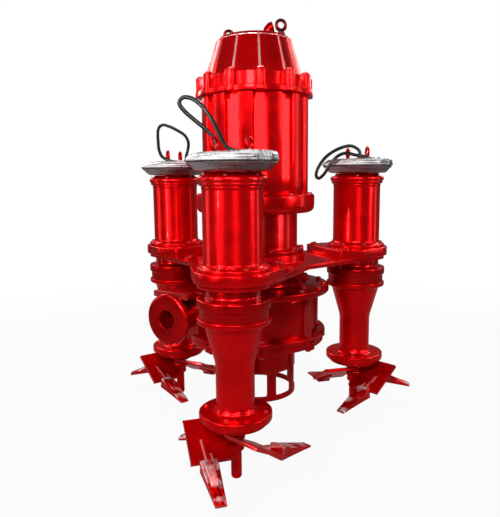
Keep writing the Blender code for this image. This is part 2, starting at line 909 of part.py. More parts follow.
def suction_cover():
    """The lower cover with the suction eye, bolt lugs round its rim and a skirt under it."""
    bottom = suction_bottom
    made = turned("suction_cover", [
        (suction_eye_radius, suction_top), (suction_cover_radius - suction_lug_radius / 2, suction_top),
        (suction_cover_radius - suction_lug_radius / 2, bottom), (suction_skirt_radius, bottom),
        (strainer_flange_radius, suction_skirt_bottom + seat_gap),
        (suction_eye_radius, suction_skirt_bottom + seat_gap),
    ], paint("suction_cover"), fine_steps)
    return join(made, cluster("suction lugs", [
        cylinder("lug", polar(suction_cover_radius - suction_lug_radius, angle), suction_lug_radius,
                 bottom - overrun, suction_top - seat_gap)
        for angle in spread(suction_lugs, suction_lug_angle)
    ]))


def suction_strainer():
    """The round strainer that the pump draws through: a collar, upright bars and a foot ring."""
    top = strainer_top
    inner = strainer_radius - strainer_wall
    made = turned("suction_strainer", [
        (inner, top), (strainer_flange_radius, top), (strainer_flange_radius, top - strainer_flange_height),
        (strainer_radius, top - strainer_flange_height), (strainer_radius, strainer_bottom_height),
        (inner, strainer_bottom_height),
    ], paint("suction_strainer"), strainer_bars * 4)
    window_angle = 2 * pi / strainer_bars - 2 * asin(strainer_bar_width / 2 / strainer_radius)
    half = strainer_radius * sin(window_angle / 2)
    start = strainer_radius * cos(window_angle / 2) - strainer_wall * 2
    end = strainer_radius + overrun
    window = [(start, -half), (end, -half), (end, half), (start, half)]
    first = strainer_bar_angle + pi / strainer_bars
    return cut(made, cluster("windows", [
        slab("window", turned_points(window, angle), strainer_window_bottom, strainer_window_top)
        for angle in spread(strainer_bars, first)
    ]))


def torus_ring(name, ring_radius, wire_radius, place, heading, parent=root, steps=ring_steps):
    """An upright ring whose plane holds the heading direction."""
    route = [
        (place[0] + ring_radius * cos(angle) * cos(heading),
         place[1] + ring_radius * cos(angle) * sin(heading), place[2] + ring_radius * sin(angle))
        for angle in spread(steps)
    ]
    curve = bpy.data.curves.new(name, "CURVE")
    curve.dimensions = "3D"
    curve.bevel_depth = wire_radius
    curve.bevel_resolution = 1
    spline = curve.splines.new("POLY")
    spline.points.add(len(route) - 1)
    for point, where in zip(spline.points, route):
        point.co = (*where, 1)
    spline.use_cyclic_u = True
    bent = bpy.data.objects.new(name + " route", curve)
    return smooth(from_curve(name, bent, None, parent))


def lifting_eye(name, place, bottom, ring_radius, wire_radius, collar_radius, collar_height, heading,
                parent=root):
    """An eyebolt: a collar with a ring on it."""
    collar = cylinder(name, place, collar_radius, bottom - overrun, bottom + collar_height,
                      small_steps, None, parent)
    centre = bottom + collar_height + ring_radius + wire_radius / 2
    eye = torus_ring(name + " ring", ring_radius, wire_radius, (*place, centre), heading, parent)
    return join(collar, eye)


def cable_elbow():
    """The bent stub that the main motor's cable enters."""
    x, y = polar(elbow_distance, elbow_angle)
    start = lid_top + seat_gap
    corner = start + elbow_rise
    route = [(x, y, start)]
    for i in range(elbow_steps + 1):
        turn = elbow_turn * i / elbow_steps
        out = elbow_bend_radius * (1 - cos(turn))
        route.append((x + out * cos(elbow_heading), y + out * sin(elbow_heading),
                      corner + elbow_bend_radius * sin(turn)))
    made = tube("cable_elbow", route, elbow_radius, make_material("cable_elbow", dark_red_paint, 0.3, 0))
    inner = [Vector(place) for place in route]
    inner[0].z -= overrun
    inner.append(inner[-1] + (inner[-1] - inner[-2]).normalized() * overrun)
    return cut(made, tube("elbow bore", inner, elbow_bore_radius, None))


def agitator_barrel(name, unit):
    """The motor shell with the wound core pressed into it."""
    inner = barrel_radius - barrel_wall
    bore = bored(rotor_shaft_radius + running_gap, barrel_sides)
    core_bottom = barrel_foot_top + rotor_rise
    core_top = core_bottom + stator_length
    core_bore = bored(rotor_radius + air_gap, barrel_sides)
    return turned("agitator_motor_" + name, [
        (barrel_radius, barrel_top), (barrel_radius, barrel_foot_top),
        (barrel_foot_radius - overrun, barrel_foot_top), (barrel_foot_radius, barrel_foot_top - overrun),
        (barrel_foot_radius, barrel_bottom + seat_gap), (bore, barrel_bottom + seat_gap),
        (bore, barrel_foot_top), (inner, barrel_foot_top), (inner, core_bottom),
        (core_bore, core_bottom), (core_bore, core_top), (inner, core_top), (inner, barrel_top),
    ], paint("agitator_motor_" + name), barrel_sides, unit)


def gland_place(index):
    return polar(gland_distance, gland_angle + index * agitator_step)


def agitator_cap(index, name, unit):
    """The motor's cap, with two lifting eyes and the cable gland on it."""
    bore = bored(rotor_shaft_radius + running_gap, barrel_sides)
    ceiling = cap_bottom + cap_inner_depth + motor_bearing_height
    made = turned("agitator_cap_" + name, [
        (0, cap_top), (cap_step_radius, cap_top), (cap_step_radius, cap_shoulder),
        (cap_radius - cap_edge, cap_shoulder), (cap_radius, cap_shoulder - cap_edge),
        (cap_radius, cap_bottom + cap_edge), (cap_radius - cap_edge, cap_bottom + seat_gap),
        (bore, cap_bottom + seat_gap), (bore, ceiling), (0, ceiling),
    ], paint("agitator_cap_" + name), barrel_sides, unit)
    eyes = [
        lifting_eye("eye %s %d" % (name, side),
                    polar(side * small_eye_offset, small_eye_turn + index * agitator_step), cap_top,
                    small_eye_ring_radius, small_eye_wire_radius, small_eye_collar_radius,
                    small_eye_collar_height, small_eye_heading + index * agitator_step, unit)
        for side in (-1, 1)
    ]
    shoulder = cap_top + gland_height
    gland = turned("gland " + name, [
        (0, shoulder + gland_nose_height), (gland_nose_radius, shoulder + gland_nose_height),
        (gland_nose_radius, shoulder), (gland_radius, shoulder), (gland_radius, cap_top - overrun),
        (0, cap_top - overrun),
    ], None, small_steps, unit, (*gland_place(index), 0))
    fittings = cluster("cap fittings " + name, [*eyes, gland])
    fittings.parent = unit
    return join(made, fittings)


def agitator_rotor(name, body):
    """The motor's rotor and its shaft, which reaches down into the reducer."""
    bottom = barrel_foot_top + rotor_rise + (stator_length - rotor_length) / 2
    input_end = plate_bottom - input_bore_depth + running_gap
    top = cap_bottom + cap_inner_depth + motor_bearing_height - running_gap
    return turned("agitator_rotor_" + name, [
        (0, top), (rotor_shaft_radius, top), (rotor_shaft_radius, bottom + rotor_length),
        (rotor_radius, bottom + rotor_length), (rotor_radius, bottom), (rotor_shaft_radius, bottom),
        (rotor_shaft_radius, input_end), (0, input_end),
    ], steel("agitator_rotor_" + name), plain_steps, body)


def reducer(name, unit):
    """The planetary reducer: body, bolted flange and the neck under the spider plate."""
    bore = bored(rotor_shaft_radius + running_gap, barrel_sides)
    spigot = bored(output_spigot_radius + running_gap, barrel_sides)
    neck_top = plate_bottom - seat_gap
    spigot_radius = motor_spigot_radius - seat_gap
    made = turned("reducer_" + name, [
        (0, plate_bottom - input_bore_depth), (bore, plate_bottom - input_bore_depth),
        (bore, foot_top - seat_gap), (spigot_radius, foot_top - seat_gap), (spigot_radius, neck_top),
        (reducer_neck_radius, neck_top),
        (reducer_neck_radius, reducer_flange_top), (reducer_flange_radius, reducer_flange_top),
        (reducer_flange_radius, reducer_flange_bottom), (reducer_body_radius, reducer_flange_bottom),
        (reducer_body_radius, reducer_bottom + seat_gap), (spigot, reducer_bottom + seat_gap),
        (spigot, reducer_bottom + output_spigot_depth), (0, reducer_bottom + output_spigot_depth),
    ], paint("reducer_" + name), barrel_sides, unit)
    return made


def bearing_tube(name, unit):
    """The tapered tube that carries the output shaft's bearings."""
    inner = bored(tube_radius - tube_wall, barrel_sides)
    wide = cone_top_radius - tube_wall
    return turned("bearing_tube_" + name, [
        (reducer_flange_radius, tube_top), (reducer_flange_radius, tube_flange_seat),
        (cone_top_radius, cone_top), (tube_radius, cone_bottom), (tube_radius, tube_flange_top),
        (tube_flange_radius - overrun, tube_flange_top), (tube_flange_radius, tube_flange_top - overrun),
        (tube_flange_radius, tube_bottom + seat_gap), (inner, tube_bottom + seat_gap),
        (inner, cone_bottom), (wide, cone_top), (wide, tube_top),
    ], paint("bearing_tube_" + name), barrel_sides, unit)


def shaft_bearing(name, unit):
    """The long bearing at the foot of the tube."""
    return ring("shaft_bearing_" + name, tube_radius - tube_wall - seat_gap,
                output_shaft_radius + running_gap, tube_bottom + seat_gap,
                tube_bottom + shaft_bearing_height, steel("shaft_bearing_" + name), plain_steps, unit)


def end_cover(name, unit):
    """The cover under the tube's flange, with the shaft seal in it."""
    bore = bored(output_shaft_radius + running_gap, plain_steps)
    return turned("end_cover_" + name, [
        (bore, tube_bottom - seat_gap), (end_cover_radius, tube_bottom - seat_gap),
        (end_cover_radius, end_cover_bottom + overrun), (end_cover_radius - overrun, end_cover_bottom),
        (bore, end_cover_bottom),
    ], paint("end_cover_" + name), plain_steps, unit)


def output_shaft(name, body):
    """The shaft from the reducer through the cutter head to the tip that the pump stands on."""
    top = reducer_bottom + output_spigot_depth - running_gap
    return turned("output_shaft_" + name, [
        (0, top), (output_spigot_radius, top), (output_spigot_radius, reducer_bottom),
        (output_shaft_radius, reducer_bottom - running_gap), (output_shaft_radius, hub_top + seat_gap),
        (tip_radius, hub_top + seat_gap), (tip_radius, tip_chamfer), (tip_radius - tip_chamfer, 0), (0, 0),
    ], paint("output_shaft_" + name), plain_steps, body)


def blade_frame(name, index):
    """Directions of one blade: out along it, forward the way the head turns, and up."""
    spin = head_spin[name]
    angle = head_rest_angle[name] + spin * index * 2 * pi / blade_count
    out = Vector((cos(angle), sin(angle), 0))
    forward = Vector((-sin(angle), cos(angle), 0)) * spin
    return out, forward, Vector((0, 0, 1))


def blade_axes(forward, up):
    chord = forward * cos(blade_pitch) - up * sin(blade_pitch)
    normal = forward * sin(blade_pitch) + up * cos(blade_pitch)
    return chord, normal


blade_back_height = hub_top - blade_thickness / 2
blade_middle_height = blade_back_height - blade_chord / 2 * sin(blade_pitch)


def blade_middle(forward, up):
    return forward * blade_lead + up * blade_middle_height


def adapter_root(out, forward, up):
    """Where the adapter crosses the blade's leading edge."""
    chord, normal = blade_axes(forward, up)
    return out * tooth_offset + blade_middle(forward, up) + chord * (blade_chord / 2)


def tooth_axes(forward, up):
    """Along the tooth, which droops, and square to it."""
    droop = forward * cos(tooth_droop) - up * sin(tooth_droop)
    return droop, forward * sin(tooth_droop) + up * cos(tooth_droop)


def nose_sizes(grow):
    """Width and height of the adapter's nose at its root and its end."""
    width, height = adapter_width, adapter_height * adapter_nose_share
    return [(width + grow, height + grow),
            (width * adapter_nose_share + grow, height / 2 + grow)]


def cutter_head(name, body):
    """A hub with pitched blades, each with a tooth adapter welded over its leading edge."""
    bore = bored(tip_radius + seat_gap, plain_steps)
    made = turned("cutter_head_" + name, [
        (bore, hub_top), (hub_radius, hub_top), (hub_radius, hub_bottom + overrun),
        (hub_radius - overrun, hub_bottom), (bore, hub_bottom),
    ], paint("cutter_head_" + name), plain_steps, body)
    for index in range(blade_count):
        out, forward, up = blade_frame(name, index)
        chord, normal = blade_axes(forward, up)
        droop, rise = tooth_axes(forward, up)
        middle = blade_middle(forward, up)
        edge = adapter_root(out, forward, up)
        blade = tapered_bar("blade %s %d" % (name, index),
                            out * (tip_radius + hub_radius) / 2 + middle, out * blade_reach + middle,
                            chord, (normal, normal), [(blade_chord, blade_thickness)] * 2, None, body)
        adapter = tapered_bar("adapter %s %d" % (name, index), edge - chord * adapter_length,
                              edge + droop * blade_thickness, out, (normal, rise),
                              [(adapter_width / 2, blade_thickness + overrun),
                               (adapter_width * adapter_flare_share, adapter_height)], None, body)
        nose = tapered_bar("nose %s %d" % (name, index), edge,
                           edge + droop * (blade_thickness + adapter_nose_length), out, (rise, rise),
                           nose_sizes(0), None, body)
        join(made, blade, adapter, nose)
    return made


def cutter_tooth(name, index, body):
    """A replaceable tooth point: a wedge with a socket over the adapter's nose."""
    out, forward, up = blade_frame(name, index)
    droop, rise = tooth_axes(forward, up)
    start = adapter_root(out, forward, up) + droop * (blade_thickness + seat_gap)
    end = start + droop * tooth_length - rise * tooth_tip_drop
    node = "tooth_%s_%d" % (name, index + 1)
    tooth = tapered_bar(node, start, end, out, (rise, rise),
                        [(tooth_root_width, tooth_root_height), (tooth_tip_width, tooth_tip_height)],
                        paint(node), body)
    grow = seat_gap * 3
    socket = tapered_bar("socket %s %d" % (name, index), start - droop * overrun,
                         start + droop * (adapter_nose_length + grow), out, (rise, rise),
                         nose_sizes(grow), None, body)
    return cut(tooth, socket)


def cable_coil(name, unit):
    """The outer shape of the coiled cable, which lies on the motor cap."""
    bottom = coil_bottom + seat_gap
    foot = coil_outer_radius - coil_foot_reach
    return turned("cable_coil_" + name, [
        (coil_inner_radius, bottom + coil_height), (coil_outer_radius - coil_edge / 2, bottom + coil_height),
        (coil_outer_radius, bottom + coil_height - coil_edge),
        (coil_outer_radius, bottom + coil_height - 2 * coil_edge), (foot, bottom),
        (coil_inner_radius, bottom),
    ], make_material("cable_coil_" + name, film_white, 0.3, 0), barrel_sides, unit)


# Each loop stands up from its gland and comes down on the coil. The points are (x, y, height over
# the coil's top) from the agitator's axis, without the first two over the gland.
loop_routes = {
    "front": [(-0.060, 0.032, 0.050), (-0.086, 0.034, 0.078), (-0.122, 0.036, 0.108),
              (-0.156, 0.036, 0.138), (-0.172, 0.034, 0.164), (-0.158, 0.030, 0.180),
              (-0.126, 0.022, 0.174), (-0.092, 0.012, 0.146), (-0.064, -0.004, 0.106),
              (-0.040, -0.030, 0.062), (-0.020, -0.068, 0.024), (-0.004, -0.104, 0.0078)],
    "right": [(-0.012, -0.058, 0.044), (-0.042, -0.054, 0.056), (-0.080, -0.054, 0.048),
              (-0.118, -0.060, 0.030), (-0.152, -0.070, 0.004), (-0.180, -0.080, -0.034),
              (-0.192, -0.094, -0.068), (-0.182, -0.114, -0.082), (-0.160, -0.128, -0.062),
              (-0.138, -0.132, -0.026), (-0.108, -0.130, 0.008), (-0.070, -0.120, 0.022),
              (-0.030, -0.116, 0.014), (0.006, -0.118, 0.0078)],
    "left": [(0.060, 0.026, 0.052), (0.066, 0.018, 0.090), (0.052, 0.008, 0.122),
             (0.020, 0.000, 0.144), (-0.016, -0.004, 0.162), (-0.048, -0.008, 0.170),
             (-0.066, -0.016, 0.154), (-0.068, -0.028, 0.124), (-0.064, -0.046, 0.090),
             (-0.058, -0.070, 0.056), (-0.042, -0.096, 0.024), (-0.016, -0.118, 0.0078)],
}


def smooth_route(points, spacing):
    """Points about spacing apart on a smooth curve through the given points."""
    knots = [Vector(point) for point in points]
    knots = [2 * knots[0] - knots[1]] + knots + [2 * knots[-1] - knots[-2]]
    route = []
    for i in range(1, len(knots) - 2):
        before, start, end, after = knots[i - 1:i + 3]
        count = max(1, round((end - start).length / spacing))
        for k in range(count):
            t = k / count
            route.append(0.5 * (2 * start + (end - before) * t
                                + (2 * before - 5 * start + 4 * end - after) * t ** 2
                                + (3 * start - before - 3 * end + after) * t ** 3))
    route.append(knots[-2])
    return route


def cable_loop(index, name, unit):
    """The cable from the gland to the top of the coil."""
    top = coil_bottom + coil_height
    x, y = gland_place(index)
    gland_top = cap_top + gland_height + gland_nose_height + seat_gap
    points = [(x, y, gland_top), (x, y, gland_top + 2 * cable_radius)]
    points += [(px, py, top + height) for px, py, height in loop_routes[name]]
    return tube("cable_loop_" + name, smooth_route(points, loop_spacing), cable_radius,
                make_material("cable_loop_" + name, cable_black, 0.35, 0), unit)


def agitator(index, name):
    """One agitator on its own axis. What turns is under an empty on that axis."""
    x, y = polar(agitator_ring_radius, front_angle + index * agitator_step)
    unit = add_empty("agitator_" + name, (x, y, 0), root)
    head = add_empty("head_axis_" + name, (0, 0, 0), unit)
    rotor = add_empty("rotor_axis_" + name, (0, 0, 0), unit)
    agitator_barrel(name, unit)
    agitator_cap(index, name, unit)
    agitator_rotor(name, rotor)
    reducer(name, unit)
    bearing_tube(name, unit)
    shaft_bearing(name, unit)
    end_cover(name, unit)
    output_shaft(name, head)
    cutter_head(name, head)
    for tooth in range(blade_count):
        cutter_tooth(name, tooth, head)
    cable_coil(name, unit)
    cable_loop(index, name, unit)


def centre_on_floor():
    """Moves the whole pump so that its footprint, without the cables, is centred on the origin."""
    bpy.context.view_layer.update()
    graph = bpy.context.evaluated_depsgraph_get()
    places = [
        found.evaluated_get(graph).matrix_world @ Vector(corner)
        for found in parts.objects if found.type == "MESH" and not found.name.startswith("cable_")
        for corner in found.evaluated_get(graph).bound_box
    ]
    root.location.x -= (min(p.x for p in places) + max(p.x for p in places)) / 2
    root.location.y -= (min(p.y for p in places) + max(p.y for p in places)) / 2


spider_plate()
motor_casing()
motor_lid()
end_shield()
bearing_housing()
main_stator()
main_bearings()
mechanical_seal()
main_shaft()
main_rotor()
impeller()
volute_casing()
back_plate()
suction_cover()
suction_strainer()
cable_elbow()
for index, name in enumerate(agitator_names):
    agitator(index, name)
centre_on_floor()
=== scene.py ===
"""The slurry pump's looks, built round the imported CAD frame. Lengths are in metres, in its frame."""

from math import acos, asin, cos, pi, radians, sin

import bmesh
import bpy
from mathutils import Matrix, Vector, noise


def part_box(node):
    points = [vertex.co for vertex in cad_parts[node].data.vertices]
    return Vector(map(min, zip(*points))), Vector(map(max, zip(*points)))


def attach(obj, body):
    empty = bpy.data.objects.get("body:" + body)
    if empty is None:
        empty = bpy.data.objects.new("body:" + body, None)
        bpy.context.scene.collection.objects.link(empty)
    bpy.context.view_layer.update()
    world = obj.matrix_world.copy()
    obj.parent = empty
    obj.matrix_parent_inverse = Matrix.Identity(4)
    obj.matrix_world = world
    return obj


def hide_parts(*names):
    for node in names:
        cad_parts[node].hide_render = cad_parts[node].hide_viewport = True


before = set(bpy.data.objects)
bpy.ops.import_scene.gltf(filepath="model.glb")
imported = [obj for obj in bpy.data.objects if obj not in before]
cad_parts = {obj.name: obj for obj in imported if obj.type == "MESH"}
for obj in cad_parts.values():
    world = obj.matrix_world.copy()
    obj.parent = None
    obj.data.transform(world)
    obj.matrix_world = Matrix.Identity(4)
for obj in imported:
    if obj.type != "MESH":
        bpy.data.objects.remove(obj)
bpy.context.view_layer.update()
scene = bpy.context.scene

# Places of the four upright axes: the pump's own, and one for each agitator on a ring round it
shaft_low, shaft_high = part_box("main_shaft")
PUMP = tuple((shaft_low[i] + shaft_high[i]) / 2 for i in range(2))
RING = 0.484
FRONT_ANGLE = radians(-98.8)
# Each agitator's spin, its first blade's angle at rest and its eyes' heading, both in degrees
UNITS = {"front": (1, 197.0, 62), "right": (-1, -45.5, 96), "left": (1, 216.0, 112)}
UP = Vector((0, 0, 1))


def polar(radius, angle, height=0.0):
    return Vector((radius * cos(angle), radius * sin(angle), height))


class Unit:
    """One agitator. turn is its angle about the pump from the front one, and place is its axis."""

    def __init__(self, index, name):
        self.index, self.name = index, name
        self.spin, blade, eyes = UNITS[name]
        self.blade_angle, self.eye_heading = radians(blade), radians(eyes)
        self.turn = index * radians(120)
        self.place = Vector((*PUMP, 0)) + polar(RING, FRONT_ANGLE + self.turn)

    def make(self, shape, piece, node, material, body="pump", **more):
        """The piece that stands for this agitator's node."""
        return shape.make(f"{piece}_{self.name}", material, body, [f"{node}_{self.name}"],
                          place=self.place, **more)


def linked(name, data):
    made = bpy.data.objects.new(name, data)
    scene.collection.objects.link(made)
    return made


# Camera

CAMERA_PLACE = (PUMP[0], PUMP[1] - 2.2538, 1.0291)
CAMERA_PITCH = radians(8.12)
CAMERA_YAW = radians(-0.63)
CAMERA_ROLL = radians(-0.55)
CAMERA_LENS = 37.61
SENSOR_WIDTH = 36


def make_camera():
    data = bpy.data.cameras.new("camera")
    data.lens = CAMERA_LENS
    data.sensor_width = SENSOR_WIDTH
    camera = linked("camera", data)
    scene.camera = camera
    forward = Vector((sin(CAMERA_YAW) * cos(CAMERA_PITCH), cos(CAMERA_YAW) * cos(CAMERA_PITCH),
                      -sin(CAMERA_PITCH)))
    flat_right = Vector((cos(CAMERA_YAW), -sin(CAMERA_YAW), 0))
    flat_up = flat_right.cross(forward)
    right = flat_right * cos(CAMERA_ROLL) + flat_up * sin(CAMERA_ROLL)
    up = flat_up * cos(CAMERA_ROLL) - flat_right * sin(CAMERA_ROLL)
    turn = Matrix((right, up, -forward)).transposed().to_4x4()
    camera.matrix_world = Matrix.Translation(CAMERA_PLACE) @ turn


# Materials

WHITE = (1, 1, 1, 1)
GLOSSY_BACKDROP = 0.2


class Nodes:
    """A node tree, and short ways to add to it."""

    def __init__(self, tree):
        self.tree = tree

    def add(self, kind, settings=None, **inputs):
        node = self.tree.nodes.new("ShaderNode" + kind)
        for key, value in (settings or {}).items():
            setattr(node, key, value)
        for key, value in inputs.items():
            key = int(key[1:]) if key[0] == "i" and key[1:].isdigit() else key.replace("_", " ")
            self.feed(node.inputs[key], value)
        return node

    def feed(self, socket, value):
        if isinstance(value, bpy.types.NodeSocket):
            self.tree.links.new(value, socket)
        else:
            socket.default_value = value

    def math(self, operation, a, b=0.0):
        return self.add("Math", {"operation": operation}, i0=a, i1=b).outputs[0]

    def times(self, a, b):
        return self.math("MULTIPLY", a, b)

    def point(self, x, y, z=0.0):
        return self.add("CombineXYZ", X=x, Y=y, Z=z).outputs[0]

    def length(self, vector):
        return self.add("VectorMath", {"operation": "LENGTH"}, i0=vector).outputs["Value"]

    def backdrop(self):
        """1 for what the camera sees, also through glass, and the backdrop's share in reflections."""
        path = self.add("LightPath")
        seen = self.math("MAXIMUM", path.outputs["Is Camera Ray"], path.outputs["Is Transmission Ray"])
        return seen, self.times(path.outputs["Is Glossy Ray"], GLOSSY_BACKDROP)


class Surface(Nodes):
    """A new material with its shader, and short ways to build its look."""

    def __init__(self, name, **values):
        self.material = bpy.data.materials.new(name)
        self.material.use_nodes = True
        super().__init__(self.material.node_tree)
        self.shader = self.tree.nodes["Principled BSDF"]
        for key, value in values.items():
            self.shader.inputs[key.replace("_", " ")].default_value = value

    def set(self, key, value):
        self.feed(self.shader.inputs[key], value)

    def place(self, scale=(1, 1, 1)):
        coordinates = self.add("TexCoord")
        return self.add("Mapping", Vector=coordinates.outputs["Object"], Scale=scale).outputs[0]

    def noise(self, scale, detail=3.0, where=None, rough=0.5):
        return self.add("TexNoise", Vector=where or self.place(), Scale=scale, Detail=detail,
                        Roughness=rough).outputs["Fac"]

    def ramp(self, value, *stops):
        node = self.add("ValToRGB", Fac=value)
        band = node.color_ramp
        while len(band.elements) < len(stops):
            band.elements.new(0.5)
        for element, (at, colour) in zip(band.elements, stops):
            element.position = at
            element.color = (*colour, 1)
        return node.outputs["Color"]

    def between(self, value, low, high, start=0.3, end=0.7):
        """A number that goes from low to high as the value goes from start to end."""
        node = self.add("MapRange", Value=value, From_Min=start, From_Max=end, To_Min=low, To_Max=high)
        return node.outputs[0]

    def mix(self, share, first, second):
        node = self.add("Mix", {"data_type": "RGBA"}, i0=share, i6=first, i7=second)
        return node.outputs[2]

    def bump(self, height, strength, distance):
        node = self.add("Bump", Height=height, Strength=strength, Distance=distance)
        self.set("Normal", node.outputs[0])


def grey(value):
    return (value, value, value)


RED_SHEEN = (1, 0.12, 0.12, 1)
# Pale tone of the painted highlight along edges
EDGE_HIGHLIGHT_TONE = (0.92, 0.34, 0.34, 1)
# Pale tone on upward faces: wear together with painted highlight
WEAR_AND_HIGHLIGHT_TONE = (1.0, 0.93, 0.93, 1)


def enamel(name, light, mid, deep, wear_and_highlight=0.0, rim=0.34):
    """Gloss enamel over a casting: uneven in colour and skin, with a painted highlight along edges, and
    pale patches of wear and painted highlight on upward faces.
    """
    made = Surface(name, Specular_IOR_Level=0.14, Specular_Tint=RED_SHEEN, Metallic=0.58,
                   Coat_Weight=0.08, Coat_Roughness=0.05)
    body = made.ramp(made.noise(7.0, 4.0), (0.3, deep), (0.52, mid), (0.74, light))
    shape = made.add("NewGeometry")
    # Painted highlight: edges, found by pointiness, turn pale; rim sets how strong
    edge = made.between(shape.outputs["Pointiness"], 0.0, rim, 0.56, 0.68)
    body = made.mix(edge, body, EDGE_HIGHLIGHT_TONE)
    if wear_and_highlight:
        # Upward faces get pale patches: partly wear, partly painted highlight
        rise = made.add("SeparateXYZ", Vector=shape.outputs["Normal"]).outputs["Z"]
        rubbed_and_highlit = made.times(made.between(rise, 0.0, wear_and_highlight, 0.55, 0.9),
                            made.between(made.noise(24.0, 2.0), 0.0, 1.0, 0.46, 0.62))
        body = made.mix(rubbed_and_highlit, body, WEAR_AND_HIGHLIGHT_TONE)
    made.set("Base Color", body)
    made.set("Roughness", made.between(made.noise(16.0), 0.19, 0.28))
    skin = made.noise(230.0, 2.0)
    cast = made.noise(38.0)
    made.bump(made.math("ADD", made.times(skin, 0.3), cast), 0.14, 0.0014)
    return made.material


# Height of the fold that parts the film's bright top from its underside, which has painted shade
COIL_EQUATOR = 1.0935
# Painted shade: near-black for the crease of the fold
FOLD_SHADE_TONE = (0.012, 0.006, 0.007, 1)


def film_skin(name):
    """Stretch film over the cable: bright on top, with painted shade below and in its fold, creased along
    the turns.
    """
    made = Surface(name, Coat_Weight=0.35, Coat_Roughness=0.15, Specular_IOR_Level=0.5)
    x, y, z = made.add("SeparateXYZ", Vector=made.place()).outputs
    angle = made.math("ARCTAN2", y, x)
    radius = made.length(made.point(x, y))
    along = made.point(made.times(angle, 1.5), made.times(z, 240.0), made.times(radius, 120.0))
    across = made.point(made.times(angle, 22.0), made.times(z, 26.0), made.times(radius, 26.0))
    turns = made.noise(1.0, 3.0, along)
    pleats = made.noise(1.0, 4.0, across, 0.6)
    patches = made.noise(9.0)
    light = made.times(made.between(turns, 0.22, 1.0, 0.38, 0.54),
                       made.between(pleats, 0.55, 1.0, 0.36, 0.5))
    light = made.times(light, made.between(patches, 0.34, 1.0, 0.4, 0.5))
    # Painted shade: dark creases in the pleats at the coil's +x end
    folds = made.between(made.noise(1.0, 2.0, across), 0.88, 0.0, 0.47, 0.51)
    pleat_shade = made.times(folds, made.between(x, 0.0, 1.0, 0.08, 0.125))
    light = made.times(light, made.math("SUBTRACT", 1.0, pleat_shade))
    # Painted shade: below the fold the film is dark, grey towards -x and dark red towards +x
    under = made.between(z, 0.0, 1.0, COIL_EQUATOR - 0.004, COIL_EQUATOR + 0.002)
    clear = made.between(x, 0.0, 1.0, -0.125, 0.0)
    top = made.ramp(light, (0.3, (0.02, 0.012, 0.014)), (0.4, (0.3, 0.26, 0.27)),
                    (0.5, (0.7, 0.67, 0.68)), (0.8, (0.95, 0.93, 0.94)))
    calm = made.math("ADD", made.times(patches, 0.6), made.times(turns, 0.4))
    grey_shade = made.ramp(calm, (0.38, (0.1, 0.085, 0.09)), (0.58, (0.42, 0.4, 0.41)))
    red_shade = made.ramp(calm, (0.36, (0.016, 0.002, 0.003)), (0.48, (0.075, 0.014, 0.018)),
                    (0.6, (0.21, 0.1, 0.11)))
    body = made.mix(under, made.mix(clear, grey_shade, red_shade), top)
    # Painted shade: a near-black band along the fold
    away = made.math("ABSOLUTE", made.math("SUBTRACT", z, COIL_EQUATOR - 0.0015))
    fold = made.between(away, 0.95, 0.0, 0.0022, 0.0042)
    made.set("Base Color", made.mix(fold, body, FOLD_SHADE_TONE))
    made.set("Roughness", made.between(pleats, 0.18, 0.45))
    made.bump(made.math("ADD", pleats, turns), 0.6, 0.0024)
    return made.material


def rubber(name):
    made = Surface(name, Specular_IOR_Level=0.34)
    made.set("Base Color", made.ramp(made.noise(30.0), (0.3, grey(0.003)), (0.7, (0.014, 0.008, 0.008))))
    made.set("Roughness", made.between(made.noise(20.0), 0.26, 0.34))
    made.bump(made.noise(160.0, 2.0), 0.05, 0.0003)
    return made.material


def steel(name, tone, metallic=1.0, rough=(0.25, 0.42)):
    made = Surface(name, Metallic=metallic)
    fine = made.noise(5.0, 5.0, made.place((3, 3, 60)))
    dark = tuple(0.72 * part for part in tone)
    made.set("Base Color", made.ramp(fine, (0.3, dark), (0.7, tone)))
    made.set("Roughness", made.between(fine, *rough))
    made.bump(fine, 0.12, 0.0006)
    return made.material


def pale_floor(name, reach):
    """A white floor with a soft shadow, which fades into the backdrop before its rim."""
    made = Surface(name, Roughness=0.9, Specular_IOR_Level=0.0)
    made.set("Base Color", made.ramp(made.noise(3.0), (0.3, grey(0.5)), (0.7, grey(0.54))))
    glow = made.add("Emission", Color=WHITE, Strength=1.0)
    seen, shiny = made.backdrop()
    share = made.math("MAXIMUM", made.times(seen, 0.94), shiny)
    mix = made.add("MixShader", Fac=share, i1=made.shader.outputs[0], i2=glow.outputs[0])
    fade = made.add("MapRange", {"interpolation_type": "SMOOTHSTEP"}, Value=made.length(made.place()),
                    From_Min=0.42 * reach, From_Max=0.95 * reach)
    clear = made.add("BsdfTransparent")
    end = made.add("MixShader", Fac=fade.outputs[0], i1=mix.outputs[0], i2=clear.outputs[0])
    made.tree.links.new(end.outputs[0], made.tree.nodes["Material Output"].inputs["Surface"])
    return made.material


# Each enamel's light, middle and deep tone
RED_TONES = (0.78, 0.002, 0.0035), (0.66, 0.0014, 0.0026), (0.48, 0.001, 0.002)
# Painted shade: the same red paint made darker, for the reducer, oil housing, cable entry and wet end,
# which lie in shade
SHADED_TONES = (0.58, 0.0016, 0.003), (0.46, 0.001, 0.0022), (0.32, 0.0008, 0.0016)
HEAD_TONES = (0.74, 0.002, 0.0035), (0.6, 0.0014, 0.0026), (0.4, 0.001, 0.002)
# Painted highlight: a pale copy of the red for the lid's thin ribs, its crown line and the head's fins
HIGHLIT_RIB_TONES = (1.0, 0.66, 0.62), (0.98, 0.48, 0.46), (0.85, 0.2, 0.2)
EYE_TONES = (0.34, 0.01, 0.012), (0.16, 0.006, 0.008), (0.06, 0.004, 0.006)

RED = enamel("red_enamel", *RED_TONES)
SHADED_RED = enamel("shaded_enamel", *SHADED_TONES)
# The cutter head and teeth get a stronger painted edge highlight
HEAD_RED = enamel("head_enamel", *HEAD_TONES, rim=0.8)
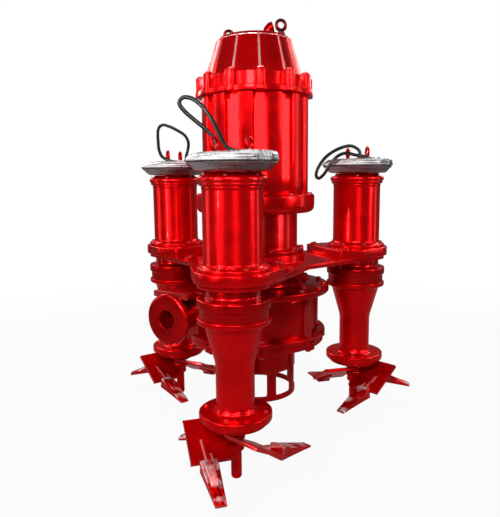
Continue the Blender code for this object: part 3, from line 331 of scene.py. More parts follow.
# Teeth: pale patches on upward faces, wear and painted highlight
WORN_HIGHLIT_RED = enamel("worn_highlit_enamel", *HEAD_TONES, wear_and_highlight=1.0, rim=0.8)
HIGHLIT_RIB_RED = enamel("highlit_rib_enamel", *HIGHLIT_RIB_TONES)
# The eyes' pale upward patches are painted highlight with some wear
EYE_RED = enamel("eye_enamel", *EYE_TONES, wear_and_highlight=0.9)
FILM = film_skin("stretch_film")
RUBBER = rubber("cable_rubber")
STEEL = steel("machined_steel", (0.55, 0.55, 0.57))
IRON = steel("cast_iron", (0.36, 0.36, 0.38), 0.9, (0.4, 0.6))
COPPER = steel("copper_winding", (0.60, 0.26, 0.12), 0.9, (0.35, 0.5))
CARBON = steel("carbon_ring", (0.05, 0.05, 0.05), 0.0, (0.4, 0.6))


# Shapes

class Shape:
    """The closed forms that one piece is made of."""

    def __init__(self):
        self.verts, self.faces = [], []

    def add(self, form, matrix=None):
        verts, faces = form
        first = len(self.verts)
        self.verts += [matrix @ Vector(v) if matrix else Vector(v) for v in verts]
        self.faces += [[first + i for i in face] for face in faces]
        return self

    def turn(self, profile, rounding, around=96, matrix=None, closed=False, fine=3):
        """Adds a turned form with rounded corners. A closed profile makes a ring."""
        return self.add(lathe(soft(profile, rounding, closed, fine), around), matrix)

    def ring(self, profile, rounding, fine=3):
        return self.turn(profile, rounding, 120, closed=True, fine=fine)

    def make(self, name, material, body, replaced=(), slot="red_enamel", place=(0, 0, 0), sharp=34):
        """An object at place, with outward faces and smooth shading, riding on its body."""
        mesh = bpy.data.meshes.new(name)
        mesh.from_pydata(self.verts, [], self.faces)
        shape = bmesh.new()
        shape.from_mesh(mesh)
        bmesh.ops.remove_doubles(shape, verts=shape.verts, dist=1e-6)
        shape.normal_update()
        bmesh.ops.recalc_face_normals(shape, faces=shape.faces)
        shape.to_mesh(mesh)
        shape.free()
        mesh.materials.append(material)
        mesh.shade_smooth()
        mesh.set_sharp_from_angle(angle=radians(sharp))
        made = linked(name, mesh)
        made.matrix_world = Matrix.Translation(place)
        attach(made, body)
        if replaced:
            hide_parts(*replaced)
        return made


def soft(points, radius, closed=False, steps=3):
    """The outline with rounded corners. A third number in a point is that corner's own radius."""
    out = []
    count = len(points)
    for i, point in enumerate(points):
        here = Vector(point[:2])
        size = point[2] if len(point) > 2 else radius
        if size == 0 or (not closed and i in (0, count - 1)):
            out.append(tuple(here))
            continue
        before = Vector(points[i - 1][:2]) - here
        after = Vector(points[(i + 1) % count][:2]) - here
        reach = min(size, before.length * 0.45, after.length * 0.45)
        start, end = here + before.normalized() * reach, here + after.normalized() * reach
        for k in range(steps + 1):
            t = k / steps
            out.append(tuple(start * (1 - t) ** 2 + here * (2 * t * (1 - t)) + end * t ** 2))
    return out


def lathe(profile, steps):
    """A turned form. The profile's points are (radius, height)."""
    verts, rows = [], []
    for radius, height in profile:
        if radius < 1e-6:
            rows.append([len(verts)] * steps)
            verts.append((0, 0, height))
        else:
            rows.append([len(verts) + i for i in range(steps)])
            verts += [polar(radius, 2 * pi * i / steps, height) for i in range(steps)]
    pairs = list(zip(rows, rows[1:]))
    if profile[0][0] > 1e-6 and profile[-1][0] > 1e-6:
        pairs.append((rows[-1], rows[0]))
    faces = []
    for low, high in pairs:
        for i in range(steps):
            j = (i + 1) % steps
            face = list(dict.fromkeys((low[i], low[j], high[j], high[i])))
            if len(face) > 2:
                faces.append(face)
    return verts, faces


def stack(rings, closed=False):
    """A skin through rings of equally many points, with end caps or joined into a loop."""
    count = len(rings[0])
    verts = [Vector(p) for ring in rings for p in ring]
    starts = [k * count for k in range(len(rings))]
    faces = []
    for low, high in zip(starts, starts[1:] + starts[:1] * closed):
        for i in range(count):
            j = (i + 1) % count
            faces.append([low + i, low + j, high + j, high + i])
    if not closed:
        faces.append(list(range(count))[::-1])
        faces.append([starts[-1] + i for i in range(count)])
    return verts, faces


def inset(outline, distance):
    """The closed outline moved inwards; the outline runs anticlockwise."""
    out = []
    count = len(outline)
    for i in range(count):
        a, b, c = (Vector(outline[(i + k) % count][:2]) for k in (-1, 0, 1))
        before, after = (b - a), (c - b)
        if before.length < 1e-7 or after.length < 1e-7:
            before = after = before if before.length > after.length else after
        n1 = Vector((-before.y, before.x)).normalized()
        n2 = Vector((-after.y, after.x)).normalized()
        bisector = n1 + n2
        if bisector.length < 1e-4:
            bisector = n1
        bisector.normalize()
        out.append(b + bisector * (distance / max(0.5, bisector.dot(n1))))
    return out


def prism(outline, bottom, top, edge=0.002, steps=2):
    """An outline of (x, y) points filled from bottom to top, with rounded rims."""
    rings = []
    for z, side in ((bottom, 1), (top, -1)):
        part = []
        for k in range(steps + 1):
            turn = pi / 2 * k / steps
            drawn = inset(outline, edge * (1 - sin(turn)))
            part.append([(p.x, p.y, z + side * edge * (1 - cos(turn))) for p in drawn])
        rings += part if side == 1 else part[::-1]
    return stack(rings)


def block(corners, edge):
    """A box between corners[end][side][rise], with bevelled edges."""
    shape = bmesh.new()
    bmesh.ops.create_cube(shape, size=1)
    for vert in shape.verts:
        co = vert.co.copy()
        vert.co = corners[int(co.x > 0)][int(co.y > 0)][int(co.z > 0)]
    bmesh.ops.bevel(shape, geom=shape.edges[:], offset=edge, segments=2, profile=0.5, affect="EDGES")
    shape.verts.index_update()
    form = [v.co.copy() for v in shape.verts], [[v.index for v in f.verts] for f in shape.faces]
    shape.free()
    return form


def rib(angle, foot, head, edge):
    """An upright rib. foot and head each give inner and outer radius, height and half width."""
    out, side = polar(1, angle), Vector((-sin(angle), cos(angle), 0))
    corners = []
    for inner, outer, height, half in (foot, head):
        corners.append([[out * radius + UP * height + side * half * way for way in (-1, 1)]
                        for radius in (inner, outer)])
    return block(corners, edge)


def bar(start, end, across, ups, sizes, edge):
    """A bar from start to end with (width, height) at each end."""
    corners = []
    for centre, up, (width, height) in zip((start, end), ups, sizes):
        corners.append([[centre + across * (width / 2 * side) + up * (height / 2 * rise)
                         for rise in (-1, 1)] for side in (-1, 1)])
    return block(corners, edge)


def sweep(route, radius, sides, closed=False):
    """A round bar along an open or closed route. radius is one number or one for each point."""
    points = [Vector(p) for p in route]
    count = len(points)
    radii = radius if isinstance(radius, (list, tuple)) else [radius] * count
    tangents = []
    for i in range(count):
        before = points[i - 1] if closed or i else points[i]
        after = points[(i + 1) % count] if closed or i < count - 1 else points[i]
        tangents.append((after - before).normalized())
    side = tangents[0].orthogonal().normalized()
    rings = []
    for point, tangent, size in zip(points, tangents, radii):
        side = (side - tangent * side.dot(tangent)).normalized()
        other = tangent.cross(side)
        rings.append([point + (side * cos(a) + other * sin(a)) * size
                      for a in (2 * pi * k / sides for k in range(sides))])
    return stack(rings, closed)


def aimed(place, axis):
    """The matrix that takes +Z to the axis, at the place."""
    return Matrix.Translation(place) @ Vector(axis).to_track_quat("Z", "Y").to_matrix().to_4x4()


def bolt(shape, place, size, height, axis=UP, washer=True, turn=0.3):
    """A hexagon head on its washer. size is the corner radius."""
    matrix = aimed(place, axis) @ Matrix.Rotation(turn, 4, "Z")
    foot = -0.002
    if washer:
        rim, top = size * 1.18, 0.0025
        shape.turn([(0, top), (rim, top), (rim, foot), (0, foot)], 0.0008, 20, matrix)
    head = [(0, height), (size * 0.82, height), (size, height * 0.8), (size, foot), (0, foot)]
    shape.add(lathe(head, 6), matrix)


def bolt_ring(shape, count, phase, radius, seat, size, height, washer=True):
    for angle in spread(count, phase):
        bolt(shape, polar(radius, angle, seat), size, height, washer=washer, turn=angle)


def spread(count, phase=0.0):
    return [phase + 2 * pi * i / count for i in range(count)]


def arc(centre, radius, start, end, steps):
    return [(centre[0] + radius * cos(start + (end - start) * i / steps),
             centre[1] + radius * sin(start + (end - start) * i / steps)) for i in range(steps + 1)]


def turned(points, angle):
    return [(x * cos(angle) - y * sin(angle), x * sin(angle) + y * cos(angle)) for x, y in points]


WELD_STEPS = 150
WELD_RIPPLES = 46


def weld(shape, radius, height, size, seed):
    """A weld bead round a joint, slightly uneven and rippled."""
    route, radii = [], []
    for angle in spread(WELD_STEPS):
        rough = noise.noise(Vector((cos(angle) * 9, sin(angle) * 9, seed)))
        route.append(polar(radius, angle, height))
        radii.append(size * (1 + 0.1 * rough + 0.04 * sin(angle * WELD_RIPPLES)))
    shape.add(sweep(route, radii, 8, True))


def eyebolt(shape, place, bottom, ring, wire, collar, collar_height, heading):
    """A lifting eye: a shaped collar with a forged ring on it, a little thicker at its foot."""
    shoulder = bottom + collar_height
    shape.turn([
        (0, shoulder), (collar * 0.62, shoulder, 0), (collar * 0.7, bottom + collar_height * 0.62),
        (collar, bottom + collar_height * 0.4), (collar, bottom - 0.003),
        (0, bottom - 0.003)], 0.002, 28, Matrix.Translation(place))
    centre = place + UP * (shoulder + ring + wire / 2)
    way = polar(1, heading)
    route = [centre + (way * cos(a) + UP * sin(a)) * ring for a in spread(40)]
    shape.add(sweep(route, [wire * (1 + 0.16 * max(0.0, -sin(a))) for a in spread(40)], 14, True))


# Agitators

GAP = 0.0003
COIL_BOTTOM = 1.061
COIL_TOP = 1.121
GLAND_TOP = 1.1353
CABLE_RADIUS = 0.007
# Each free loop's points: x and y from the unit's axis, and height over the coil's top
LOOPS = {
    "front": [(-0.06, 0.032, 0.05), (-0.086, 0.034, 0.078), (-0.122, 0.036, 0.108),
              (-0.156, 0.036, 0.138), (-0.172, 0.034, 0.164), (-0.158, 0.03, 0.18),
              (-0.126, 0.022, 0.174), (-0.092, 0.012, 0.146), (-0.064, -0.004, 0.106),
              (-0.04, -0.03, 0.062), (-0.02, -0.068, 0.024), (-0.004, -0.104, 0.0078)],
    "right": [(-0.012, -0.058, 0.044), (-0.042, -0.054, 0.056), (-0.08, -0.054, 0.048),
              (-0.118, -0.06, 0.03), (-0.152, -0.07, 0.004), (-0.18, -0.08, -0.034),
              (-0.192, -0.094, -0.068), (-0.182, -0.114, -0.082), (-0.16, -0.128, -0.062),
              (-0.138, -0.132, -0.026), (-0.108, -0.13, 0.008), (-0.07, -0.12, 0.022),
              (-0.03, -0.116, 0.014), (0.006, -0.118, 0.0078)],
    "left": [(0.06, 0.026, 0.052), (0.066, 0.018, 0.09), (0.052, 0.008, 0.122),
             (0.02, 0.0, 0.144), (-0.016, -0.004, 0.162), (-0.048, -0.008, 0.17),
             (-0.066, -0.016, 0.154), (-0.068, -0.028, 0.124), (-0.064, -0.046, 0.09),
             (-0.058, -0.07, 0.056), (-0.042, -0.096, 0.024), (-0.016, -0.118, 0.0078)],
}
# The turns: spacing, radius of the first column, and height of the lowest row over the coil's foot
PITCH = 0.0142
FIRST_TURN = 0.0985
FIRST_ROW = 0.0087
# (column, row) of each turn, in the order in which the cable fills the coil
CELLS = [(2, 3), (1, 3), (0, 3), (0, 2), (1, 2), (2, 2), (3, 2), (2, 1), (1, 1), (0, 1), (0, 0), (1, 0)]
TURN_STEPS = 36
# The share of a turn after which it shifts to the next cell
SHIFT_START = 0.8


def gland_place(unit):
    return polar(0.06, radians(150) + unit.turn)


def catmull(points, spacing):
    """A smooth route through the points."""
    knots = [Vector(p) for p in points]
    knots = [2 * knots[0] - knots[1]] + knots + [2 * knots[-1] - knots[-2]]
    route = []
    for i in range(1, len(knots) - 2):
        before, start, end, after = knots[i - 1:i + 3]
        count = max(1, round((end - start).length / spacing))
        for k in range(count):
            t = k / count
            route.append(0.5 * (2 * start + (end - before) * t
                                + (2 * before - 5 * start + 4 * end - after) * t ** 2
                                + (3 * start - before - 3 * end + after) * t ** 3))
    route.append(knots[-2])
    return route


def coil_turns(start_angle):
    """The turns under the film. Each shifts to the next cell near its end."""
    lowest = COIL_BOTTOM + FIRST_ROW
    places = [(FIRST_TURN + column * PITCH, lowest + row * PITCH) for column, row in CELLS]
    route = []
    for (radius, height), (next_radius, next_height) in zip(places, places[1:] + places[-1:]):
        for k, angle in enumerate(spread(TURN_STEPS, start_angle)):
            share = max(0.0, (k / TURN_STEPS - SHIFT_START) / (1 - SHIFT_START))
            ease = share * share * (3 - 2 * share)
            route.append(polar(radius + (next_radius - radius) * ease, angle,
                               height + (next_height - height) * ease))
    return route


def cable(unit):
    """The free loop from the gland and the turns under the film, and the point where it starts."""
    gland = gland_place(unit)
    loop = [gland + UP * GLAND_TOP, gland + UP * (GLAND_TOP + 2 * CABLE_RADIUS)]
    loop += [(x, y, COIL_TOP + height) for x, y, height in LOOPS[unit.name]]
    landing = Vector(loop[-1]).to_2d().angle_signed(Vector((1, 0)))
    under = landing + radians(25)
    dive = [polar(0.121, landing + radians(13), COIL_TOP - 0.001), polar(0.126, under, COIL_TOP - 0.0065)]
    route = catmull(loop + dive, 0.012)[:-1] + coil_turns(under)
    curve = bpy.data.curves.new("cable_" + unit.name, "CURVE")
    curve.dimensions = "3D"
    curve.bevel_depth = CABLE_RADIUS
    curve.bevel_resolution = 4
    curve.use_fill_caps = True
    spline = curve.splines.new("POLY")
    spline.points.add(len(route) - 1)
    for point, where in zip(spline.points, route):
        point.co = (*(unit.place + where), 1)
    spline.use_smooth = True
    curve.materials.append(RUBBER)
    made = linked("cable_" + unit.name, curve)
    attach(made, "pump")
    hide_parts("cable_loop_" + unit.name)
    return made, unit.place + loop[0]


FILM_INNER = 0.0905
FILM_WIDTH = 0.063
FILM_BASE = COIL_BOTTOM + GAP
FILM_MIDDLE = FILM_BASE + 0.031
FILM_CROWN = 0.045


def film_wrap(unit):
    """Stretch film round the coil: a crowned top, a lip over a fold that the film's material darkens with
    painted shade, and a drawn-in underside.
    """
    profile = [(FILM_INNER, 0.001, 0.003), (0.1235, 0, 0.006), (0.15, 0.027, 0.003),
               (0.1475, 0.03, 0.001), (0.153, 0.0325, 0.002), (0.1536, 0.044, 0.006),
               (0.145, 0.061, 0.01), (0.11, 0.062, 0.01), (0.0915, 0.0595, 0.004)]
    corners = [(radius, FILM_BASE + rise, rounding) for radius, rise, rounding in profile]
    outline = soft(corners, 0.004, True, 5)
    fine = []
    for start, end in zip(outline, outline[1:] + outline[:1]):
        a, b = Vector(start), Vector(end)
        parts = max(1, int((b - a).length / 0.004))
        fine += [tuple(a.lerp(b, k / parts)) for k in range(parts)]
    verts, faces = lathe(fine, 280)
    seed = 3.7 * unit.index
    thin_way, full_way = polar(1, radians(190)), polar(1, radians(-25))
    for point in verts:
        flat = Vector((point.x, point.y, 0))
        radius = flat.length
        way = flat / radius
        share = (radius - FILM_INNER) / FILM_WIDTH
        height = point.z - FILM_BASE
        pleat = noise.noise(Vector((way.x * 24, way.y * 24, seed + height * 12)))
        broad = max(0.0, noise.noise(Vector((way.x * 2.4, way.y * 2.4, seed))))
        rows = 0.5 + 0.5 * cos(2 * pi * (height - FIRST_ROW) / PITCH)
        dent = (0.0022 * abs(pleat) + 0.0009 * (1 - rows)) * min(1.0, share * 1.6)
        point -= way * (dent + 0.0015 * broad)
        thin = max(0.0, way.dot(thin_way)) * share ** 2
        point.z = FILM_MIDDLE + (point.z - FILM_MIDDLE) * (1 - 0.5 * thin)
        if height > FILM_CROWN:
            full = max(0.0, way.dot(full_way)) * share
            point.z += 0.005 * full + 0.0018 * pleat - 0.0012 * broad
    shape = Shape().add((verts, faces))
    return unit.make(shape, "coil_film", "cable_coil", FILM, slot="wrapped_cable", sharp=60)


def motor_shell(unit):
    shape = Shape().turn([
        (0, 1.015), (0.1035, 1.015), (0.1035, 1.009, 0.004), (0.102, 1.003, 0.006), (0.102, 0.762, 0.008),
        (0.113, 0.753, 0.003), (0.124, 0.752, 0.004), (0.124, 0.7393, 0.002), (0, 0.7393)], 0.002)
    weld(shape, 0.1035, 0.7555, 0.0045, unit.index)
    bolt_ring(shape, 8, radians(22.5) + unit.turn, 0.115, 0.7525, 0.0072, 0.0062, False)
    unit.make(shape, "motor_shell", "agitator_motor", RED)


def motor_cap(unit):
    shape = Shape().turn([
        (0, 1.0605), (0.094, 1.0605, 0.004), (0.097, 1.049, 0.003), (0.1095, 1.0485, 0.006),
        (0.1165, 1.042, 0.005), (0.1165, 1.031, 0.005), (0.1105, 1.027, 0.003), (0.1115, 1.021, 0.003),
        (0.1085, 1.0155, 0.003), (0, 1.0155)], 0.002)
    for side in (-1, 1):
        eyebolt(shape, polar(side * 0.056, radians(8) + unit.turn), 1.061, 0.02, 0.005, 0.011, 0.066,
                unit.eye_heading)
    gland = Matrix.Translation(gland_place(unit))
    shape.turn([
        (0, 1.135), (0.0085, 1.135), (0.0105, 1.131, 0.001), (0.0105, 1.113, 0.001),
        (0.0125, 1.111, 0.001), (0.0125, 1.104, 0.001), (0.0112, 1.102, 0), (0.0112, 1.098, 0),
        (0.015, 1.096, 0.001), (0.015, 1.06), (0, 1.06)], 0.001, 24, gland)
    shape.add(lathe([(0, 1.109), (0.0148, 1.109), (0.0148, 1.099), (0, 1.099)], 6), gland)
    bolt_ring(shape, 6, radians(20) + unit.turn, 0.1045, 1.0485, 0.006, 0.005, False)
    unit.make(shape, "motor_cap", "agitator_cap", RED)


def reducer(unit):
    """The gear housing, with four studs up to the plate."""
    shape = Shape().turn([
        (0, 0.6847), (0.094, 0.6847), (0.094, 0.655, 0.006), (0.1, 0.648, 0.003), (0.128, 0.6465, 0.004),
        (0.128, 0.617, 0.003), (0.1215, 0.614, 0.003), (0.1205, 0.583, 0.002), (0.1205, 0.5803),
        (0, 0.5803)], 0.002)
    top, seat, radius = 0.6848, 0.6465, 0.0052
    for angle in spread(4, radians(45)):
        place = polar(0.114, angle)
        shape.add(lathe([(0, top), (radius, top), (radius, seat), (0, seat)], 14),
                  Matrix.Translation(place))
        bolt(shape, place + UP * seat, 0.0095, 0.00855)
    unit.make(shape, "reducer_housing", "reducer", SHADED_RED)


def shaft_tube(unit):
    shape = Shape().turn([
        (0, 0.58), (0.128, 0.58, 0.003), (0.128, 0.563, 0.004), (0.107, 0.5555, 0.005),
        (0.101, 0.54, 0.01), (0.067, 0.418, 0.016), (0.067, 0.268, 0.01), (0.079, 0.2515, 0.005),
        (0.123, 0.2505, 0.003), (0.127, 0.247, 0.003), (0.127, 0.224, 0.003), (0.1235, 0.2203),
        (0, 0.2203)], 0.003, fine=5)
    seat = 0.2516
    for angle in spread(4, radians(-14)):
        place = polar(0.1075, angle)
        shape.add(lathe([(0, seat), (0.0095, seat), (0.01, 0.248), (0, 0.248)], 24),
                  Matrix.Translation(place))
        bolt(shape, place + UP * seat, 0.0068, 0.0058, washer=False, turn=angle)
    weld(shape, 0.069, 0.256, 0.0062, unit.index + 5.0)
    unit.make(shape, "shaft_tube", "bearing_tube", RED)


def foot_cover(unit):
    shape = Shape().turn([
        (0.0306, 0.2197), (0.11, 0.2197, 0.002), (0.112, 0.214, 0.002), (0.112, 0.208, 0.003),
        (0.106, 0.204, 0.003), (0.06, 0.204, 0.002), (0.056, 0.2045), (0.0306, 0.2045)], 0.002)
    unit.make(shape, "foot_cover", "end_cover", RED)


def end_shaft(unit):
    shape = Shape().turn([
        (0, 0.6128), (0.0218, 0.6128), (0.0218, 0.58, 0), (0.0298, 0.5795, 0), (0.0298, 0.1985, 0),
        (0.019, 0.1983, 0), (0.019, 0.006, 0.006), (0.014, 0, 0.003), (0, 0)], 0.002, 40)
    unit.make(shape, "end_shaft", "output_shaft", RED, "head_" + unit.name)


HUB_TOP = 0.198
ROOT, REACH, CHORD, THICK, PITCH_ANGLE, LEAD = 0.024, 0.172, 0.172, 0.012, radians(30), -0.006
TOOTH_OFFSET, TOOTH_LENGTH, TOOTH_DROOP, TOOTH_DROP = 0.115, 0.178, radians(11), 0.007
# A tooth's sections: share of its length, half width, top, bottom, ridge half width, ridge height
TOOTH_SECTIONS = [
    (0.0, 0.03, 0.0234, 0.0234, 0.014, 0.0008), (0.02, 0.0308, 0.0236, 0.0236, 0.014, 0.001),
    (0.1, 0.0296, 0.022, 0.0218, 0.014, 0.0014), (0.24, 0.028, 0.0188, 0.0184, 0.013, 0.003),
    (0.5, 0.0248, 0.0138, 0.0134, 0.01, 0.0032), (0.78, 0.0215, 0.0084, 0.008, 0.008, 0.0016),
    (0.97, 0.0192, 0.005, 0.0048, 0.006, 0.0004), (1.0, 0.0186, 0.0044, 0.0042, 0.005, 0.0)]


def tilted(forward, angle):
    """The way forward tipped down by the angle, and the upward way square to it."""
    return forward * cos(angle) - UP * sin(angle), forward * sin(angle) + UP * cos(angle)


def cutter(unit):
    """The head: hub and three pitched blades, each with an adapter, its tooth, two fins and a bead."""
    half_chord, body = CHORD / 2, "head_" + unit.name
    shape, fins = Shape(), Shape()
    shape.turn([
        (0.0194, HUB_TOP), (0.029, HUB_TOP, 0.003), (0.029, 0.106, 0.004),
        (0.0194, 0.106)], 0.002, 40, closed=True)
    for number in range(3):
        angle = unit.blade_angle + unit.spin * number * 2 * pi / 3
        out = polar(1, angle)
        forward = Vector((-sin(angle), cos(angle), 0)) * unit.spin
        chord, normal = tilted(forward, PITCH_ANGLE)
        droop, rise = tilted(forward, TOOTH_DROOP)
        middle = forward * LEAD + UP * (HUB_TOP - THICK / 2 - half_chord * sin(PITCH_ANGLE))
        edge = out * TOOTH_OFFSET + middle + chord * half_chord
        root, tip = out * ROOT + middle, out * REACH + middle
        shape.add(bar(root, tip, chord, (normal, normal), [(CHORD, THICK)] * 2, 0.0016))
        shape.add(bar(edge - chord * 0.07, edge + droop * THICK, out, (normal, rise),
                      [(0.015, THICK + 0.004), (0.042, 0.036)], 0.0025))
        shape.add(bar(edge, edge + droop * (THICK + 0.036), out, (rise, rise),
                      [(0.03, 0.0223), (0.0186, 0.011)], 0.001))
        for aside, length in ((0.01, 0.085), (-0.012, 0.045)):
            foot = edge + out * aside - chord * length + normal * 0.006
            head = edge + out * aside + droop * 0.016 + rise * 0.008
            fins.add(bar(foot, head, out, (normal, rise), [(0.0045, 0.004), (0.0055, 0.032)], 0.001))
        bead = [out * (ROOT + 0.012 * k) + middle - chord * (half_chord - 0.02)
                + normal * THICK * 0.5 for k in range(3)]
        shape.add(sweep(bead, 0.004, 8))
        make_tooth(unit, number + 1, edge + droop * (THICK + GAP), droop, rise, out)
    weld(shape, 0.0295, 0.15, 0.003, unit.index)
    # The fins in the pale enamel: painted highlight
    fins.make("head_fins_" + unit.name, HIGHLIT_RIB_RED, body, place=unit.place)
    unit.make(shape, "cutter", "cutter_head", HEAD_RED, body)


def make_tooth(unit, number, start, droop, rise, out):
    """A replaceable point: a tapering wedge with a raised middle."""
    end = start + droop * TOOTH_LENGTH - rise * TOOTH_DROP
    rings = []
    for share, half, top, low, ridge, lift in TOOTH_SECTIONS:
        centre = start.lerp(end, share)
        chamfer = min(0.003, top * 0.5)
        right = [(half - chamfer, -low), (half, -low + chamfer), (half, top - chamfer),
                 (half - chamfer, top - lift * 0.3), (ridge + 0.003, top - lift), (ridge, top)]
        left = [(-a, b) for a, b in reversed(right)]
        section = left[-2:] + right + left[:-2]
        rings.append([centre + out * a + rise * b for a, b in section])
    shape = Shape().add(stack(rings))
    shape.make(f"tooth_point_{unit.name}_{number}", WORN_HIGHLIT_RED, "head_" + unit.name,
               [f"tooth_{unit.name}_{number}"], place=unit.place, sharp=24)


# Spider plate, motor and lid

FLUTES = 12
BOLT_PHASE = radians(-84)


def pump_piece(shape, name, node=None, material=RED, sharp=34):
    """A piece of the pump itself, made about its own axis. It stands for the node, if one is named."""
    shape.make(name, material, "pump", [node] if node else (), place=(*PUMP, 0), sharp=sharp)


# The plate's bolts: their level, size and height, and how far along and beside each arm they sit
PLATE_BOLTS = [(0.739, 0.0085, 0.0085, ((0.33, 0.128), (0.352, 0.146))),
               (0.705, 0.0095, 0.009, ((0.268, 0.12), (0.24, 0.168)))]


def spider():
    """The three-armed plate, with a raised foot for each agitator and a round seat for the pump."""
    shape = Shape()
    arm = [(0.134, -0.232)] + arc((RING, 0), 0.125, -pi / 2, pi / 2, 28)
    foot = [(0.315, -0.158), (0.425, -0.168)] + arc((RING, 0), 0.137, radians(-76), radians(76), 30)
    foot += [(0.425, 0.168), (0.315, 0.158)]
    outline = []
    for angle in spread(3, FRONT_ANGLE):
        outline += turned(arm, angle)
        shape.add(prism(soft(turned(foot, angle), 0.008, True, 3), 0.701, 0.739, 0.0035, 3))
        for level, size, height, places in PLATE_BOLTS:
            for side in (-1, 1):
                for along, aside in places:
                    x, y = turned([(along, side * aside)], angle)[0]
                    bolt(shape, (x, y, level), size, height)
    shape.add(prism(outline, 0.685, 0.705))
    seat = [(0, 0.739), (0.205, 0.739, 0.003), (0.205, 0.708, 0.006), (0.214, 0.702), (0, 0.702)]
    shape.turn(seat, 0.002)
    pump_piece(shape, "spider_casting", "spider_plate")


def within(value):
    return min(1.0, max(0.0, value))


CASING_HEIGHTS = [0.9763, 0.979, 1.05, 1.12, 1.19, 1.26, 1.31, 1.33, 1.3352, 1.3368, 1.3384, 1.34,
                  1.35, 1.3565, 1.3578, 1.3597]
POCKET_START, POCKET_RISE, POCKET_DEPTH, POCKET_EDGE = 1.3352, 0.0032, 0.013, 0.004


def fluted_casing():
    """The motor shell. Its flutes have flat floors and steep sides, and a pocket under each bolt."""
    outer, inner = 0.216, 0.178
    mouth, wall_width, floor = 0.029, 0.0042, 0.1985
    half_angle = pi / FLUTES
    angles = spread(FLUTES * 64, BOLT_PHASE)
    rings = []
    for z in CASING_HEIGHTS:
        trim = 0.0012 if z in (CASING_HEIGHTS[0], CASING_HEIGHTS[-1]) else 0.0
        ring = []
        for angle in angles:
            off = abs((angle - BOLT_PHASE + half_angle) % (2 * half_angle) - half_angle) * outer
            wall = within((mouth - off) / wall_width)
            depth = outer - floor / cos(off / outer)
            pocket = (within((z - POCKET_START) / POCKET_RISE)
                      * within((mouth - POCKET_EDGE - off) / POCKET_EDGE))
            ring.append(polar(outer - depth * wall - POCKET_DEPTH * pocket * wall - trim, angle, z))
        rings.append(ring)
    for z in (CASING_HEIGHTS[-1], CASING_HEIGHTS[0]):
        rings.append([polar(inner, angle, z) for angle in angles])
    pump_piece(Shape().add(stack(rings, True)), "fluted_casing", "motor_casing", sharp=50)


def lid():
    """The bell-shaped lid: bolt ring, band, twelve bosses with lugs, thin ribs, crown and two eyes."""
    ring_top, band_top, boss_top, crown = 1.382, 1.435, 1.4365, 1.589
    shape, ribs, eyes = Shape(), Shape(), Shape()
    shape.turn([
        (0, crown), (0.134, crown, 0.004), (0.1395, 1.5865, 0.003), (0.15, 1.5745, 0.003),
        (0.19, band_top + 0.001, 0.005), (0.201, band_top, 0.003), (0.201, ring_top + 0.001, 0.004),
        (0.229, ring_top, 0.004), (0.23, 1.3602, 0.003), (0, 1.3602)], 0.003, 120)
    boss = soft([(0.192, -0.0195, 0), (0.226, -0.0185), (0.235, -0.0105), (0.235, 0.0105),
                 (0.226, 0.0185), (0.192, 0.0195, 0)], 0.006, True)
    lug = soft([(0.205, -0.0215, 0), (0.229, -0.0215), (0.2375, -0.013), (0.2375, 0.013),
                (0.229, 0.0215), (0.205, 0.0215, 0)], 0.005, True)
    for angle in spread(FLUTES, BOLT_PHASE):
        shape.add(prism(turned(boss, angle), 1.364, boss_top, 0.0035, 3))
        shape.add(prism(turned(lug, angle), 1.3605, ring_top - 0.001))
        bolt(shape, polar(0.215, angle, boss_top), 0.0118, 0.0075, turn=angle)
        ribs.add(rib(angle, (0.18, 0.2, band_top - 0.001, 0.0029), (0.138, 0.1535, 1.5765, 0.0023),
                     0.0015))
    # A thin pale ring: painted highlight line along the crown's lower edge
    ribs.ring([(0.1465, 1.5728), (0.1512, 1.5728), (0.1512, 1.5768), (0.1465, 1.5768)], 0.0012)
    for heading in spread(2, radians(-34)):
        eyebolt(eyes, polar(0.125, heading), crown, 0.0185, 0.0062, 0.016, 0.012, radians(15))
    plug = Matrix.Translation(polar(0.055, radians(200)))
    shape.turn([(0, 1.598), (0.016, 1.598, 0.003), (0.02, 1.587), (0, 1.587)], 0.002, 28, plug)
    pump_piece(ribs, "lid_ribs", material=HIGHLIT_RIB_RED)
    pump_piece(eyes, "lid_eyes", material=EYE_RED)
    pump_piece(shape, "cast_lid", "motor_lid")


def elbow():
    """The bent cable entry: a round stub on a hexagon foot, which bends over to an open mouth."""
    x, y = polar(0.052, radians(-4))[:2]
    heading = polar(1, radians(4))
    foot, bend, bend_steps = 1.5893, 0.031, 14
    route = [Vector((x, y, foot + rise)) for rise in (0, 0.006, 0.012)]
    radii = [0.0232, 0.0232, 0.02]
    for i in range(bend_steps + 1):
        turn = radians(74) * i / bend_steps
        height = foot + 0.016 + bend * sin(turn)
        route.append(Vector((x, y, height)) + heading * (bend * (1 - cos(turn))))
        radii.append(0.0198 if i < 10 else 0.021)
    mouth, way = route[-1], (route[-1] - route[-2]).normalized()
    route += [mouth - way * depth for depth in (0, 0.004, 0.016)]
    shape = Shape().add(sweep(route, radii + [0.015, 0.0142, 0.0138], 28))
    bolt(shape, (x, y, foot + 0.0055), 0.0215, 0.007, washer=False)
    pump_piece(shape, "cable_entry", "cable_elbow", SHADED_RED)


def shield():
    shape = Shape().ring([
        (0.172, 0.9757), (0.24, 0.9757, 0.003), (0.243, 0.97, 0.004), (0.243, 0.903, 0.034),
        (0.075, 0.9033), (0.075, 0.926), (0.172, 0.926)], 0.003, fine=6)
    bolt_ring(shape, FLUTES, BOLT_PHASE, 0.2295, 0.9752, 0.009, 0.0075)
    pump_piece(shape, "lower_shield", "end_shield")


